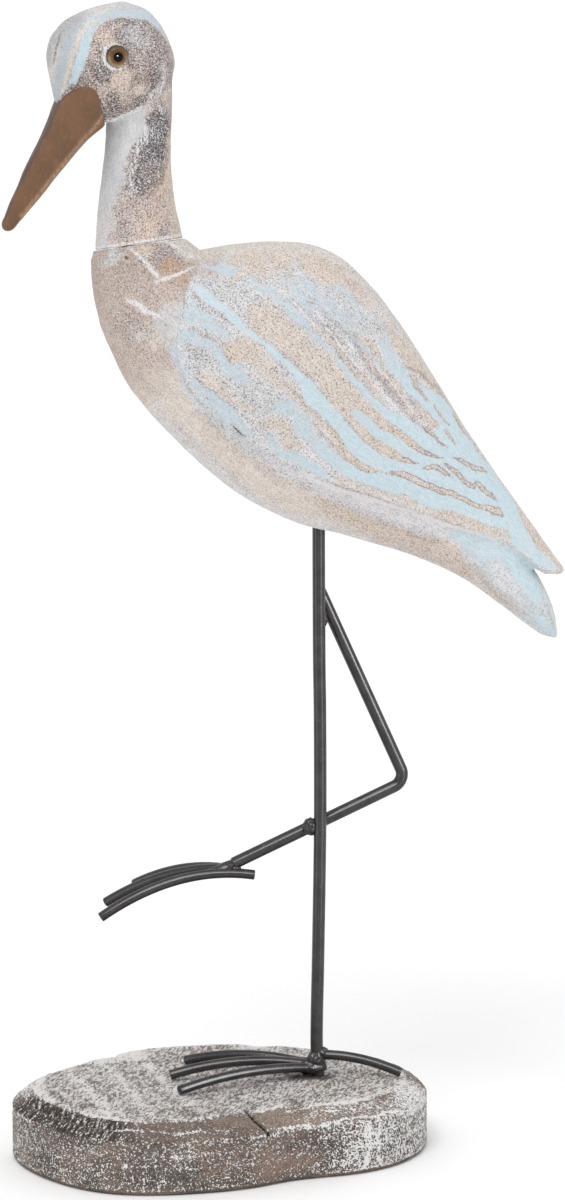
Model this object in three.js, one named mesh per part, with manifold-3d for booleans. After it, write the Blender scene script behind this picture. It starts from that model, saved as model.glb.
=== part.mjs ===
// Carved wooden crane standing on one steel-rod leg, with its wooden base.
// Millimetres, +Z up. The bird looks along -X and its left side faces -Y.
// The origin is the middle of the base's underside.

import * as THREE from 'three';
import { mergeVertices } from 'three/addons/utils/BufferGeometryUtils.js';
import Module from 'manifold-3d';

const wasm = await Module();
wasm.setup();

const degrees = THREE.MathUtils.degToRad;

// Driving dimensions
const GAP = 0.3;
const ROD_RADIUS = 2.6;
const RAISED_ROD_RADIUS = 2.4;
const TOE_RADIUS = 2.15;

const BASE_THICKNESS = 30;
const BASE_HALF_LENGTH = 91;
const BASE_HALF_DEPTH = 70;
const BASE_EDGE_HEIGHT = 24;
const BASE_BEVEL_WIDTH = 10.5;

const LEG_FROM_BASE_CENTRE = new THREE.Vector2(43.5, 3.5);
const LEG_DEPTH_IN_BASE = 20;
const LEG_TOP = 270;
const LEG_HOLE_LENGTH = 60;

const BODY_SLOPE = degrees(38);
const BODY_ANCHOR = new THREE.Vector2(-60, 323);
const WING_LIFT = 2.6;

const NECK_X = -77;
const SEAM_HEIGHT = 365.5;
const SEAM_TILT = degrees(7);
const SEAM_ROLL = degrees(7);
const HEAD_TURN = degrees(12);

const EYE_RADIUS = 4.7;
const EYE_BULGE = 2.4;
const EYE_DEPTH = 3.5;

// Facets round each section and rings along each length
const BODY_SIDES = 30;
const BODY_RINGS = 33;
const WING_RINGS = 26;
const WING_OUTER_STEPS = 9;
const WING_INNER_STEPS = 3;
const STUB_SIDES = 28;
const STUB_RINGS = 8;
const NECK_SIDES = 24;
const NECK_RINGS = 11;
const SKULL_SIDES = 26;
const SKULL_RINGS = 14;
const BILL_SIDES = 16;
const BILL_RINGS = 10;
const EYE_SIDES = 14;
const ROD_SIDES = 12;
const TOE_SIDES = 9;
const TOE_RINGS = 6;
const BEND_RINGS = 6;
const BASE_SIDES = 60;

const COLOURS = {
  wood: 0xd6c6b8,
  bill: 0x825c42,
  eye: 0x6b5634,
  steel: 0x3c3b3b,
  base: 0x8c8078,
};

// Smooth line through a few [position, value] stations
function line(stations) {
  const last = stations.length - 1;
  const slopes = stations.map((station, i) => {
    const before = stations[Math.max(i - 1, 0)];
    const after = stations[Math.min(i + 1, last)];
    return (after[1] - before[1]) / (after[0] - before[0]);
  });
  return (position) => {
    let i = 0;
    while (i < last - 1 && position > stations[i + 1][0]) i += 1;
    const [start, from] = stations[i];
    const [end, to] = stations[i + 1];
    const span = end - start;
    const t = THREE.MathUtils.clamp((position - start) / span, 0, 1);
    const hold = 2 * t ** 3 - 3 * t ** 2 + 1;
    const lead = (t ** 3 - 2 * t ** 2 + t) * span * slopes[i];
    const trail = (t ** 3 - t ** 2) * span * slopes[i + 1];
    return hold * from + (1 - hold) * to + lead + trail;
  };
}

function evenSteps(start, end, count) {
  return Array.from({ length: count + 1 }, (unused, i) => start + (end - start) * (i / count));
}

// Values from start to end, drawn together near both ends
const EASING = 0.65;

function easedSteps(start, end, count) {
  return evenSteps(0, 1, count).map((t) => {
    const eased = (1 - Math.cos(Math.PI * t)) / 2;
    return THREE.MathUtils.lerp(start, end, (1 - EASING) * t + EASING * eased);
  });
}

// Angles once round a section, without the repeated last one
function roundSteps(count) {
  return evenSteps(0, 2 * Math.PI, count).slice(0, -1);
}

// Signed power, which squares off a round section
function squared(value, exponent) {
  return Math.sign(value) * Math.abs(value) ** (2 / exponent);
}

// Closed skin over rings of points, each end closed by a fan
function loft(rings) {
  const count = rings[0].length;
  const points = rings.flat();
  const ends = [rings[0], rings[rings.length - 1]].map((ring) => {
    const middle = new THREE.Vector3();
    ring.forEach((point) => middle.add(point));
    return middle.divideScalar(count);
  });
  const first = points.length;
  points.push(...ends);
  const index = [];
  for (let k = 0; k < count; k += 1) {
    const next = (k + 1) % count;
    index.push(first, next, k);
    const base = (rings.length - 1) * count;
    index.push(first + 1, base + k, base + next);
    for (let r = 0; r < rings.length - 1; r += 1) {
      const a = r * count + k;
      const b = r * count + next;
      index.push(a, b, b + count, a, b + count, a + count);
    }
  }
  const places = points.flatMap((point) => [point.x, point.y, point.z]);
  const geometry = new THREE.BufferGeometry();
  geometry.setAttribute('position', new THREE.Float32BufferAttribute(places, 3));
  geometry.setIndex(index);
  return geometry;
}

function signedVolume(geometry) {
  const place = geometry.attributes.position;
  const corner = [new THREE.Vector3(), new THREE.Vector3(), new THREE.Vector3()];
  let volume = 0;
  for (let i = 0; i < geometry.index.count; i += 3) {
    corner.forEach((point, j) => point.fromBufferAttribute(place, geometry.index.getX(i + j)));
    volume += corner[0].dot(corner[1].clone().cross(corner[2])) / 6;
  }
  return volume;
}

// Solid from a closed geometry, whichever way its faces were wound
function solid(source) {
  const bare = source.clone();
  bare.deleteAttribute('normal');
  bare.deleteAttribute('uv');
  const merged = mergeVertices(bare, 1e-4);
  const triVerts = Uint32Array.from(merged.index.array);
  if (signedVolume(merged) < 0) {
    for (let i = 0; i < triVerts.length; i += 3) {
      [triVerts[i + 1], triVerts[i + 2]] = [triVerts[i + 2], triVerts[i + 1]];
    }
  }
  const vertProperties = Float32Array.from(merged.attributes.position.array);
  return new wasm.Manifold(new wasm.Mesh({ numProp: 3, vertProperties, triVerts }));
}

function geometryOf(shape) {
  const mesh = shape.getMesh();
  const geometry = new THREE.BufferGeometry();
  geometry.setAttribute('position', new THREE.Float32BufferAttribute(mesh.vertProperties, 3));
  geometry.setIndex(Array.from(mesh.triVerts));
  geometry.computeVertexNormals();
  return geometry;
}

function mirrored(geometry) {
  return geometry.clone().scale(1, -1, 1);
}

// Ellipsoid with few sides, for a weld or a rounded tool
function lump(centre, radii) {
  const geometry = new THREE.SphereGeometry(1, 9, 6);
  geometry.scale(radii.x, radii.y, radii.z);
  geometry.translate(centre.x, centre.y, centre.z);
  return solid(geometry);
}

function place3(x, y, z) {
  return new THREE.Vector3(x, y, z);
}

// Round bar through given points, with closed flat ends
function tube(points, radius, sides) {
  const rings = points.map((point, i) => {
    const before = points[Math.max(i - 1, 0)];
    const after = points[Math.min(i + 1, points.length - 1)];
    const forward = after.clone().sub(before).normalize();
    const across = Math.abs(forward.y) > 0.9 ? place3(1, 0, 0) : place3(0, 1, 0);
    const first = across.addScaledVector(forward, -across.dot(forward)).normalize();
    const second = forward.clone().cross(first);
    return roundSteps(sides).map((angle) => (
      point.clone()
        .addScaledVector(first, radius * Math.cos(angle))
        .addScaledVector(second, radius * Math.sin(angle))
    ));
  });
  return loft(rings);
}

// Body: stations along its sloping length, heights across it
const BODY_START = -51.5;
const BODY_END = 209.5;
const WING_START = -17;
const WING_END = 193.5;

const bellyLine = line([
  [-51.5, 5], [-47, 0.4], [-36, -10.5], [-23, -19], [-2, -28.8], [30, -34.4], [60, -35.8],
  [87, -31], [106, -23.2], [134, -12.8], [158, -6.8], [181, -5.6], [203, -5.4], [209.5, -3],
]);
const backLine = line([
  [-20, 33], [-8, 46], [4, 57], [18, 66.5], [33, 70.6], [50, 69], [72, 63.3],
  [101, 53], [121, 45.7], [148, 37], [172, 29.8], [193.5, 23.6],
]);
const coreTopLine = line([
  [-51.5, 6], [-45, 14], [-30, 25], [-12, 37], [4, 53], [18, 62.5], [33, 66.8], [50, 65],
  [72, 59.5], [101, 49], [121, 41], [148, 30.5], [172, 19], [187, 14], [197, 9],
  [204, 4.2], [209.5, -1.4],
]);
const breadthLine = line([
  [-51.5, 4], [-48, 12], [-36, 22.5], [-20, 29.5], [0, 33.5], [30, 35.8], [60, 34],
  [90, 28.5], [120, 22], [150, 16.5], [187, 13], [201, 9.5], [209.5, 2.5],
]);
const wingEdgeLine = line([
  [-17, 25], [-14.5, 15], [-10, 6], [-5, -2], [2, -8], [12, -12.8], [26, -15], [45, -15],
  [67, -12.2], [88, -6.5], [105, -0.6], [122, 4.4], [139, 10], [155, 15], [170, 17.4],
  [185, 18], [193.5, 22.6],
]);
const wingThicknessLine = line([[-17, 6.6], [160, 6.6], [180, 5], [193.5, 2.6]]);
const wingGapLine = line([[-17, -1], [60, -1], [110, 1], [160, 2.4], [193.5, 5]]);
const WAIST = 0.52;
const SECTION_SQUARENESS = 2.15;

function bodyPoint(along, across, side) {
  const cos = Math.cos(BODY_SLOPE);
  const sin = Math.sin(BODY_SLOPE);
  const x = BODY_ANCHOR.x + along * cos + across * sin;
  const z = BODY_ANCHOR.y - along * sin + across * cos;
  return place3(x, side, z);
}

// Point of a section at an angle from the back, grown outwards by lift
function sectionPoint(along, angle, top, lift) {
  const low = bellyLine(along) - lift;
  const high = top + lift;
  const waist = bellyLine(along) + WAIST * (coreTopLine(along) - bellyLine(along));
  const cos = squared(Math.cos(angle), SECTION_SQUARENESS);
  const across = waist + cos * (cos > 0 ? high - waist : waist - low);
  const side = (breadthLine(along) + lift) * squared(Math.sin(angle), SECTION_SQUARENESS);
  return bodyPoint(along, across, side);
}

function bodyCore() {
  const rings = easedSteps(BODY_START, BODY_END, BODY_RINGS).map((along) => (
    roundSteps(BODY_SIDES).map((angle) => sectionPoint(along, angle, coreTopLine(along), 0))
  ));
  return loft(rings);
}

// Angle at which a section's outline passes a height or a side distance
function angleAtHeight(along, across, lift) {
  const low = bellyLine(along) - lift;
  const waist = bellyLine(along) + WAIST * (coreTopLine(along) - bellyLine(along));
  const reach = across > waist ? backLine(along) - waist : waist - low;
  const part = THREE.MathUtils.clamp((across - waist) / reach, -1, 1);
  return Math.acos(Math.sign(part) * Math.abs(part) ** (SECTION_SQUARENESS / 2));
}

function angleAtSide(along, side, lift) {
  const part = side / (breadthLine(along) + lift);
  return Math.asin(Math.sign(part) * Math.abs(part) ** (SECTION_SQUARENESS / 2));
}

// One wing: a leaf lying on the core, from the back's middle to its lower edge
const WING_RISE = { before: 3, after: 9 };
const WING_LEAST_ANGLE = 0.12;
const WING_UNDERCUT_ANGLE = 0.04;

function wing() {
  const rings = easedSteps(WING_START, WING_END, WING_RINGS).map((along) => {
    const start = WING_START - WING_RISE.before;
    const lift = WING_LIFT * THREE.MathUtils.smoothstep(along, start, WING_START + WING_RISE.after);
    const top = backLine(along) - lift;
    const first = angleAtSide(along, wingGapLine(along) / 2, lift);
    const last = Math.max(angleAtHeight(along, wingEdgeLine(along), lift), first + WING_LEAST_ANGLE);
    const outer = evenSteps(first, last, WING_OUTER_STEPS)
      .map((angle) => sectionPoint(along, angle, top, lift));
    const inner = evenSteps(last - WING_UNDERCUT_ANGLE, first, WING_INNER_STEPS)
      .map((angle) => sectionPoint(along, angle, top, lift - wingThicknessLine(along)));
    return [...outer, ...inner];
  });
  return loft(rings);
}

// Stub of the neck that is carved with the body, up to the glued seam
const STUB_BOTTOM = 318;
const stubFrontLine = line([
  [318, -84], [329, -92.4], [337, -94.7], [348, -96.7], [359.4, -97.3], [366, -96.3],
]);
const stubBackLine = line([[318, -40], [338, -42], [350, -45], [358, -49], [366, -58]]);
const stubBreadthLine = line([[318, 22], [338, 22.5], [350, 21.5], [366, 19.4]]);

// How far the glued seam, which leans back and to the right, stands above its middle
function seamRise(forwards, side) {
  return forwards * Math.tan(SEAM_TILT) - side * Math.tan(SEAM_ROLL);
}

function neckStub() {
  const rings = evenSteps(STUB_BOTTOM, SEAM_HEIGHT, STUB_RINGS).map((height) => {
    const front = stubFrontLine(height);
    const back = stubBackLine(height);
    const share = (height - STUB_BOTTOM) / (SEAM_HEIGHT - STUB_BOTTOM);
    return roundSteps(STUB_SIDES).map((angle) => {
      const x = (front + back) / 2 + ((back - front) / 2) * Math.cos(angle);
      const y = stubBreadthLine(height) * Math.sin(angle);
      return place3(x, y, height + share * (seamRise(x - NECK_X, y) - GAP));
    });
  });
  return loft(rings);
}

function legHole() {
  const points = [place3(0, 0, LEG_TOP - LEG_HOLE_LENGTH), place3(0, 0, LEG_TOP + GAP)];
  return solid(tube(points, ROD_RADIUS + GAP, ROD_SIDES));
}

function bodyGeometry() {
  const leaf = wing();
  const shape = solid(bodyCore())
    .add(solid(leaf))
    .add(solid(mirrored(leaf)))
    .add(solid(neckStub()))
    .subtract(legHole());
  return geometryOf(shape);
}

// Neck and head in their own frame: the seam's middle is its origin
const HEAD_BOTTOM = 52;
const HEAD_TOP = 102.3;
const HEAD_SQUARENESS = 2.2;
const CHIN_X = -20;
const headFrontLine = line([
  [52, -18], [53.5, -24], [56, -31], [60, -36], [66, -37.8], [75, -39.4], [81, -39.8], [87, -38.4],
  [91, -35.8], [95, -31.6], [98.5, -24.5], [100.8, -17], [102.3, -8],
]);
const headBackLine = line([
  [52, 13.4], [61, 14.4], [70, 15.2], [79, 14.8], [86, 13], [92, 10.2], [96, 6.8],
  [99.5, 2.4], [102.3, -6],
]);
const headBreadthLine = line([
  [52, 13.5], [56, 16.4], [63, 18.6], [71, 19.6], [79, 19.4], [87, 17.2], [93, 13.8],
  [98, 9.4], [102.3, 1.5],
]);
const faceTaperLine = line([[52, 0.6], [66, 0.58], [78, 0.26], [102.3, 0.12]]);
const jawLeanLine = line([[52, 0.36], [62, 0.3], [80, 0], [102.3, 0]]);

const NECK_LENGTH = 78;
const neckFrontLine = line([
  [0, -18.4], [13, -17.7], [23, -16.7], [33, -15.3], [43, -14.1], [52, -13.7], [78, -13.3],
]);
const neckBackLine = line([
  [0, 18.5], [7, 17.1], [14, 15.6], [22, 14.6], [32, 13.7], [44, 13.8], [60, 14.4], [78, 14.2],
]);
const neckBreadthLine = line([
  [0, 18.6], [12, 16.4], [28, 14], [45, 12.8], [60, 13.2], [78, 14.2],
]);

function neckGeometry() {
  const rings = evenSteps(0, NECK_LENGTH, NECK_RINGS).map((height) => {
    const front = neckFrontLine(height);
    const back = neckBackLine(height);
    const share = 1 - height / NECK_LENGTH;
    return roundSteps(NECK_SIDES).map((angle) => {
      const x = (front + back) / 2 + ((back - front) / 2) * Math.cos(angle);
      const y = neckBreadthLine(height) * Math.sin(angle);
      const forwards = x * Math.cos(HEAD_TURN) - y * Math.sin(HEAD_TURN);
      const sideways = x * Math.sin(HEAD_TURN) + y * Math.cos(HEAD_TURN);
      return place3(x, y, height + share * seamRise(forwards, sideways));
    });
  });
  return loft(rings);
}

function skullGeometry() {
  const rings = easedSteps(HEAD_BOTTOM, HEAD_TOP, SKULL_RINGS).map((height) => {
    const front = headFrontLine(height);
    const back = headBackLine(height);
    return roundSteps(SKULL_SIDES).map((angle) => {
      const along = squared(Math.cos(angle), HEAD_SQUARENESS);
      const aside = squared(Math.sin(angle), HEAD_SQUARENESS);
      const x = (front + back) / 2 + ((back - front) / 2) * along;
      const narrowing = 1 - faceTaperLine(height) * Math.max(-Math.cos(angle), 0);
      const rise = jawLeanLine(height) * Math.max(x - CHIN_X, 0);
      return place3(x, headBreadthLine(height) * aside * narrowing, height + rise);
    });
  });
  return loft(rings);
}

// Bill: a long tapering wedge that points forward and down
const BILL_SLOPE = degrees(55.3);
const BILL_ROOT = new THREE.Vector2(-20.4, 64.4);
const BILL_START = -6;
const BILL_LENGTH = 68.5;
const BILL_TIP_LENGTH = 4;
const BILL_TIP_SHARES = [0.4, 0.75, 0.97];
const BILL_SQUARENESS = 2.3;
const billUpperLine = line([
  [-6, 6], [0, 8.6], [8, 9.8], [14.5, 9.7], [29, 7.4], [44, 5.5], [57, 3.9], [64.5, 2.8],
]);
const billLowerLine = line([
  [-6, 6], [0, 9], [8, 10.4], [14.5, 10.2], [29, 7.1], [44, 5.1], [57, 3.9], [64.5, 3.1],
]);
const billBreadthLine = line([
  [-6, 9], [0, 12], [8, 11.6], [14.5, 10.4], [29, 7.5], [44, 5.4], [57, 4], [64.5, 3],
]);

function billPoint(along, across, side) {
  const cos = Math.cos(BILL_SLOPE);
  const sin = Math.sin(BILL_SLOPE);
  const x = BILL_ROOT.x - along * cos - across * sin;
  const z = BILL_ROOT.y - along * sin + across * cos;
  return place3(x, side, z);
}

function billGeometry(grow) {
  const tipStart = BILL_LENGTH - BILL_TIP_LENGTH;
  const tip = BILL_TIP_SHARES.map((share) => tipStart + share * BILL_TIP_LENGTH);
  const rings = [...evenSteps(BILL_START - grow, tipStart, BILL_RINGS), ...tip].map((along) => {
    const tipShare = Math.max((along - tipStart) / BILL_TIP_LENGTH, 0);
    const round = Math.sqrt(1 - tipShare ** 2);
    return roundSteps(BILL_SIDES).map((angle) => {
      const up = squared(Math.cos(angle), BILL_SQUARENESS);
      const reach = up > 0 ? billUpperLine(along) : billLowerLine(along);
      const side = (billBreadthLine(along) * round + grow) * squared(Math.sin(angle), BILL_SQUARENESS);
      return billPoint(along, up * (reach * round + grow), side);
    });
  });
  return loft(rings);
}

// Eye: a shallow glass dome, with its back let into the head
const EYE_PLACE = place3(-15.2, -18.8, 80.7);
const EYE_TURN = degrees(6);
const EYE_DOME_STEPS = 4;
const EYE_DOME_SUNK = 1;

function eyeGeometry(grow) {
  const radius = EYE_RADIUS + grow;
  const back = -EYE_DEPTH - grow;
  const dome = evenSteps(0, Math.PI / 2, EYE_DOME_STEPS).map((angle) => {
    const height = (EYE_BULGE + grow) * Math.sin(angle) - EYE_DOME_SUNK;
    return new THREE.Vector2(Math.max(radius * Math.cos(angle), 0), height);
  });
  dome[EYE_DOME_STEPS].x = 0;
  const profile = [new THREE.Vector2(0, back), new THREE.Vector2(radius, back), ...dome];
  const geometry = new THREE.LatheGeometry(profile, EYE_SIDES);
  geometry.rotateX(Math.PI);
  geometry.rotateZ(-EYE_TURN);
  geometry.translate(EYE_PLACE.x, EYE_PLACE.y, EYE_PLACE.z);
  return geometry;
}

function neckHeadGeometry() {
  const tool = eyeGeometry(GAP);
  const shape = solid(neckGeometry())
    .add(solid(skullGeometry()))
    .subtract(solid(billGeometry(GAP)))
    .subtract(solid(tool))
    .subtract(solid(mirrored(tool)));
  return geometryOf(shape);
}

// Legs: the standing rod, and the raised rod welded behind it
const RAISED_LEG_Y = ROD_RADIUS + RAISED_ROD_RADIUS + GAP;
const RAISED_TOP = place3(2.6, RAISED_LEG_Y, 211);
const RAISED_KNEE = place3(39, RAISED_LEG_Y, 129.6);
const RAISED_FOOT = place3(-36.5, RAISED_LEG_Y, 94.5);
const KNEE_RADIUS = 7;

// Points along two straight runs joined by one round bend
function bentPath(start, corner, end, radius) {
  const before = start.clone().sub(corner).normalize();
  const after = end.clone().sub(corner).normalize();
  const halfTurn = before.angleTo(after) / 2;
  const bisector = before.clone().add(after).normalize();
  const centre = corner.clone().addScaledVector(bisector, radius / Math.sin(halfTurn));
  const setback = radius / Math.tan(halfTurn);
  const entry = corner.clone().addScaledVector(before, setback).sub(centre);
  const leave = corner.clone().addScaledVector(after, setback).sub(centre);
  const sweep = Math.PI - 2 * halfTurn;
  const bend = evenSteps(0, 1, BEND_RINGS).map((t) => {
    const spoke = entry.clone().multiplyScalar(Math.sin((1 - t) * sweep) / Math.sin(sweep));
    return spoke.addScaledVector(leave, Math.sin(t * sweep) / Math.sin(sweep)).add(centre);
  });
  return [start, ...bend, end];
}

const raisedPathPoints = bentPath(RAISED_TOP, RAISED_KNEE, RAISED_FOOT, KNEE_RADIUS);

const FOOT_WELD = { centre: place3(-3, 0, 4.6), radii: place3(6.6, 5.2, 4.3) };
const HIND_WELD = { centre: place3(1, -0.5, 8.6), radii: place3(4.2, 3.8, 3.6) };
const CROSS_WELD = { centre: place3(-3.4, 1.6, 110.4), radii: place3(3, 3.2, 3.4) };
const TOP_WELD = { centre: place3(2.2, 2.4, 202), radii: place3(2.6, 2.6, 4) };
const RAISED_WELD = { centre: place3(-37, RAISED_LEG_Y + 0.6, 92.8), radii: place3(4.4, 3.8, 3) };

function grownLump(weld, grow) {
  return lump(weld.centre, weld.radii.clone().addScalar(grow));
}

function standingLegSolid(grow) {
  const points = [place3(0, 0, -LEG_DEPTH_IN_BASE - grow), place3(0, 0, LEG_TOP + grow)];
  return solid(tube(points, ROD_RADIUS + grow, ROD_SIDES))
    .add(grownLump(FOOT_WELD, grow))
    .add(grownLump(HIND_WELD, grow));
}

function raisedLegSolid(grow) {
  return solid(tube(raisedPathPoints, RAISED_ROD_RADIUS + grow, ROD_SIDES))
    .add(grownLump(RAISED_WELD, grow));
}

function standingLegGeometry() {
  const welds = grownLump(CROSS_WELD, 0).add(grownLump(TOP_WELD, 0)).subtract(raisedLegSolid(GAP));
  return geometryOf(standingLegSolid(0).add(welds));
}

// Toes: each a short bar that leaves its weld, arches and comes down to its tip
function toePoints(shape) {
  const heading = place3(-Math.cos(shape.heading), Math.sin(shape.heading), 0);
  return evenSteps(0, 1, TOE_RINGS).map((t) => {
    const rise = shape.arch * 4 * t * (1 - t) - shape.drop * t ** 2;
    return shape.root.clone().addScaledVector(heading, shape.reach * t).add(place3(0, 0, rise));
  });
}

function toe(root, heading, reach, drop, arch) {
  return { root, heading: degrees(heading), reach, drop, arch };
}

const STANDING_TOES = {
  standing_toe_left: toe(place3(-3, -1.5, 3.8), -22, 66, 1.4, 2.6),
  standing_toe_middle: toe(place3(-3, 0, 4.8), 0, 62, 2.4, 3.2),
  standing_toe_right: toe(place3(-3, 1.5, 4.4), 23, 57, 2, 3),
  standing_toe_hind: toe(place3(1, -0.3, 9.2), -164, 35.5, 6.8, 0.4),
};

const RAISED_TOE_ROOT = place3(-37.6, RAISED_LEG_Y + 0.6, 92);
const RAISED_TOES = {
  raised_toe_left: toe(place3(-27.5, RAISED_LEG_Y - 2.6, 89.8), 2, 67, 17.3, 2.8),
  raised_toe_middle: toe(RAISED_TOE_ROOT, 24, 57, 18.6, 0.2),
  raised_toe_right: toe(RAISED_TOE_ROOT, 46, 54, 14.2, 0),
};

function toeSolid(shape, grow) {
  return solid(tube(toePoints(shape), TOE_RADIUS + grow, TOE_SIDES));
}

function raisedLegGeometry() {
  return geometryOf(raisedLegSolid(0).subtract(toeSolid(RAISED_TOES.raised_toe_left, GAP)));
}

// Each toe is cut back where it meets the welds and the toes before it
function toeGeometries(toes, welded) {
  let cutter = welded;
  return Object.entries(toes).map(([name, shape]) => {
    const cut = toeSolid(shape, 0).subtract(cutter);
    cutter = cutter.add(toeSolid(shape, GAP));
    return [name, geometryOf(cut)];
  });
}

// Base: a weathered slab with an uneven outline, a worn bevel, a split and a drilled hole
const BASE_TURN = degrees(4);
const BASE_SWELLS = [
  { at: degrees(-64), width: degrees(22), size: -9 },
  { at: degrees(-130), width: degrees(24), size: 9 },
  { at: degrees(150), width: degrees(17), size: -5 },
  { at: degrees(131), width: degrees(5), size: -4 },
  { at: degrees(67), width: degrees(4.5), size: -4.5 },
  { at: degrees(46), width: degrees(14), size: -3.5 },
];
const BEVEL_FRONT_SHARE = 0.25;
const BEVEL_MIDDLE = { inset: 0.45, rise: 0.6 };
const WORN_UNDERSIDE = { inset: 0.15, height: 1.5 };
const SPLIT = {
  start: place3(4, -45, -1),
  end: place3(16, -69, -8),
  startWidth: 0.4,
  endWidth: 1.4,
};

function baseRadius(angle) {
  const turned = angle - BASE_TURN;
  const length = Math.cos(turned) / BASE_HALF_LENGTH;
  const depth = Math.sin(turned) / BASE_HALF_DEPTH;
  const round = 1 / Math.hypot(length, depth);
  return BASE_SWELLS.reduce((radius, swell) => {
    const away = Math.atan2(Math.sin(angle - swell.at), Math.cos(angle - swell.at)) / swell.width;
    return radius + swell.size * Math.exp(-away * away);
  }, round);
}

// Ring of the slab's outline, drawn in by a share of the bevel, which is widest in front
function baseRing(bevelShare, height) {
  return roundSteps(BASE_SIDES).map((angle) => {
    const inset = bevelShare * BASE_BEVEL_WIDTH * (1 - BEVEL_FRONT_SHARE * Math.sin(angle));
    const radius = baseRadius(angle) - inset;
    return place3(radius * Math.cos(angle), radius * Math.sin(angle), height);
  });
}

// Three-sided blade that opens a drying split across the front bevel
function splitTool() {
  const along = SPLIT.end.clone().sub(SPLIT.start).setZ(0).normalize();
  const across = place3(-along.y, along.x, 0);
  const above = BASE_THICKNESS + 1;
  const rings = [[SPLIT.start, SPLIT.startWidth], [SPLIT.end, SPLIT.endWidth]].map(([at, width]) => [
    at.clone().setZ(above).addScaledVector(across, -width / 2),
    at.clone().setZ(above).addScaledVector(across, width / 2),
    at.clone().setZ(BASE_THICKNESS + at.z),
  ]);
  return loft(rings);
}

function baseGeometry() {
  const drop = BASE_THICKNESS - BASE_EDGE_HEIGHT;
  const slab = loft([
    baseRing(WORN_UNDERSIDE.inset, 0),
    baseRing(0, WORN_UNDERSIDE.height),
    baseRing(0, BASE_EDGE_HEIGHT),
    baseRing(BEVEL_MIDDLE.inset, BASE_EDGE_HEIGHT + BEVEL_MIDDLE.rise * drop),
    baseRing(1, BASE_THICKNESS),
  ]);
  const { x, y } = LEG_FROM_BASE_CENTRE;
  const floor = BASE_THICKNESS - LEG_DEPTH_IN_BASE - GAP;
  const points = [place3(x, y, floor), place3(x, y, BASE_THICKNESS + 1)];
  const hole = tube(points, ROD_RADIUS + GAP, ROD_SIDES);
  return geometryOf(solid(slab).subtract(solid(hole)).subtract(solid(splitTool())));
}

function finish(colour, roughness, metalness) {
  return () => new THREE.MeshStandardMaterial({ color: colour, roughness, metalness });
}

const woodFinish = finish(COLOURS.wood, 0.8, 0);
const billFinish = finish(COLOURS.bill, 0.45, 0);
const eyeFinish = finish(COLOURS.eye, 0.1, 0);
const steelFinish = finish(COLOURS.steel, 0.4, 0.3);
const baseFinish = finish(COLOURS.base, 0.9, 0);

function named(name, geometry, material) {
  const mesh = new THREE.Mesh(geometry, material);
  mesh.name = name;
  return mesh;
}

// Scene graph: the base at the origin, the bird on its leg, the head turned on its neck
const crane = new THREE.Group();
crane.add(named('base', baseGeometry(), baseFinish()));

const bird = new THREE.Group();
bird.position.set(LEG_FROM_BASE_CENTRE.x, LEG_FROM_BASE_CENTRE.y, BASE_THICKNESS);
crane.add(bird);
bird.add(named('body', bodyGeometry(), woodFinish()));
bird.add(named('standing_leg', standingLegGeometry(), steelFinish()));
bird.add(named('raised_leg', raisedLegGeometry(), steelFinish()));

const toes = [
  ...toeGeometries(STANDING_TOES, standingLegSolid(GAP)),
  ...toeGeometries(RAISED_TOES, raisedLegSolid(GAP)),
];
toes.forEach(([name, geometry]) => bird.add(named(name, geometry, steelFinish())));

const head = new THREE.Group();
head.position.set(NECK_X, 0, SEAM_HEIGHT);
head.rotation.z = HEAD_TURN;
bird.add(head);
head.add(named('neck_and_head', neckHeadGeometry(), woodFinish()));
head.add(named('bill', billGeometry(0), billFinish()));
head.add(named('eye_left', geometryOf(solid(eyeGeometry(0))), eyeFinish()));
head.add(named('eye_right', geometryOf(solid(mirrored(eyeGeometry(0)))), eyeFinish()));

export default crane;
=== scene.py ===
# Looks of the carved wooden crane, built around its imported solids
# Shapes are worked out in millimetres and put in place in metres

import math

import bpy
import numpy as np
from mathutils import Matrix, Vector


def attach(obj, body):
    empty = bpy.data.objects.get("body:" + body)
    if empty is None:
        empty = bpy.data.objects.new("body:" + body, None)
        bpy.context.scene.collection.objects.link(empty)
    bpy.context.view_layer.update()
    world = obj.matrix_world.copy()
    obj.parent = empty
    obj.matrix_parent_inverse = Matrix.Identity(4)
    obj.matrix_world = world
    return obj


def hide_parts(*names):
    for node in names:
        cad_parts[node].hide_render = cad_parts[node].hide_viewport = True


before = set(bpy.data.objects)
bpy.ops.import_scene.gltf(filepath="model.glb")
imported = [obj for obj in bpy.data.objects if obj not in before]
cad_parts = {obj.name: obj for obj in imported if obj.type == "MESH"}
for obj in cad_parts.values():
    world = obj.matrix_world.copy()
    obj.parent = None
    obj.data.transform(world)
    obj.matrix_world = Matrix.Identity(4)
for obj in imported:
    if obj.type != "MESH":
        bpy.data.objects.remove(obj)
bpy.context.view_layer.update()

MM = 0.001
BODY = "root"

# Driving dimensions, as in the solids
BIRD_PLACE = np.array([43.5, 3.5, 30.0])
BODY_SLOPE = math.radians(38)
BODY_ANCHOR = (-60.0, 323.0)
BODY_START = -51.5
BODY_END = 209.5
WING_START = -17.0
BACK_START = -20.0
WING_END = 193.5
WING_LIFT = 2.6
WAIST = 0.52
BODY_SQUARENESS = 2.15
SEAM_PLACE = np.array([-77.0, 0.0, 365.5])
SEAM_TILT = math.radians(7)
SEAM_ROLL = math.radians(7)
STUB_BOTTOM = 318.0
HEAD_TURN = math.radians(12)
GAP = 0.3

ROD_RADIUS = 2.6
RAISED_ROD_RADIUS = 2.4
TOE_RADIUS = 2.15
# Paint on the legs' rods
COAT = 0.16
RAISED_COAT = 0.28
LEG_DEPTH_IN_BASE = 20.0
LEG_TOP = 270.0

BASE_THICKNESS = 30.0
BASE_EDGE_HEIGHT = 24.0
BASE_BEVEL_WIDTH = 10.5

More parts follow.
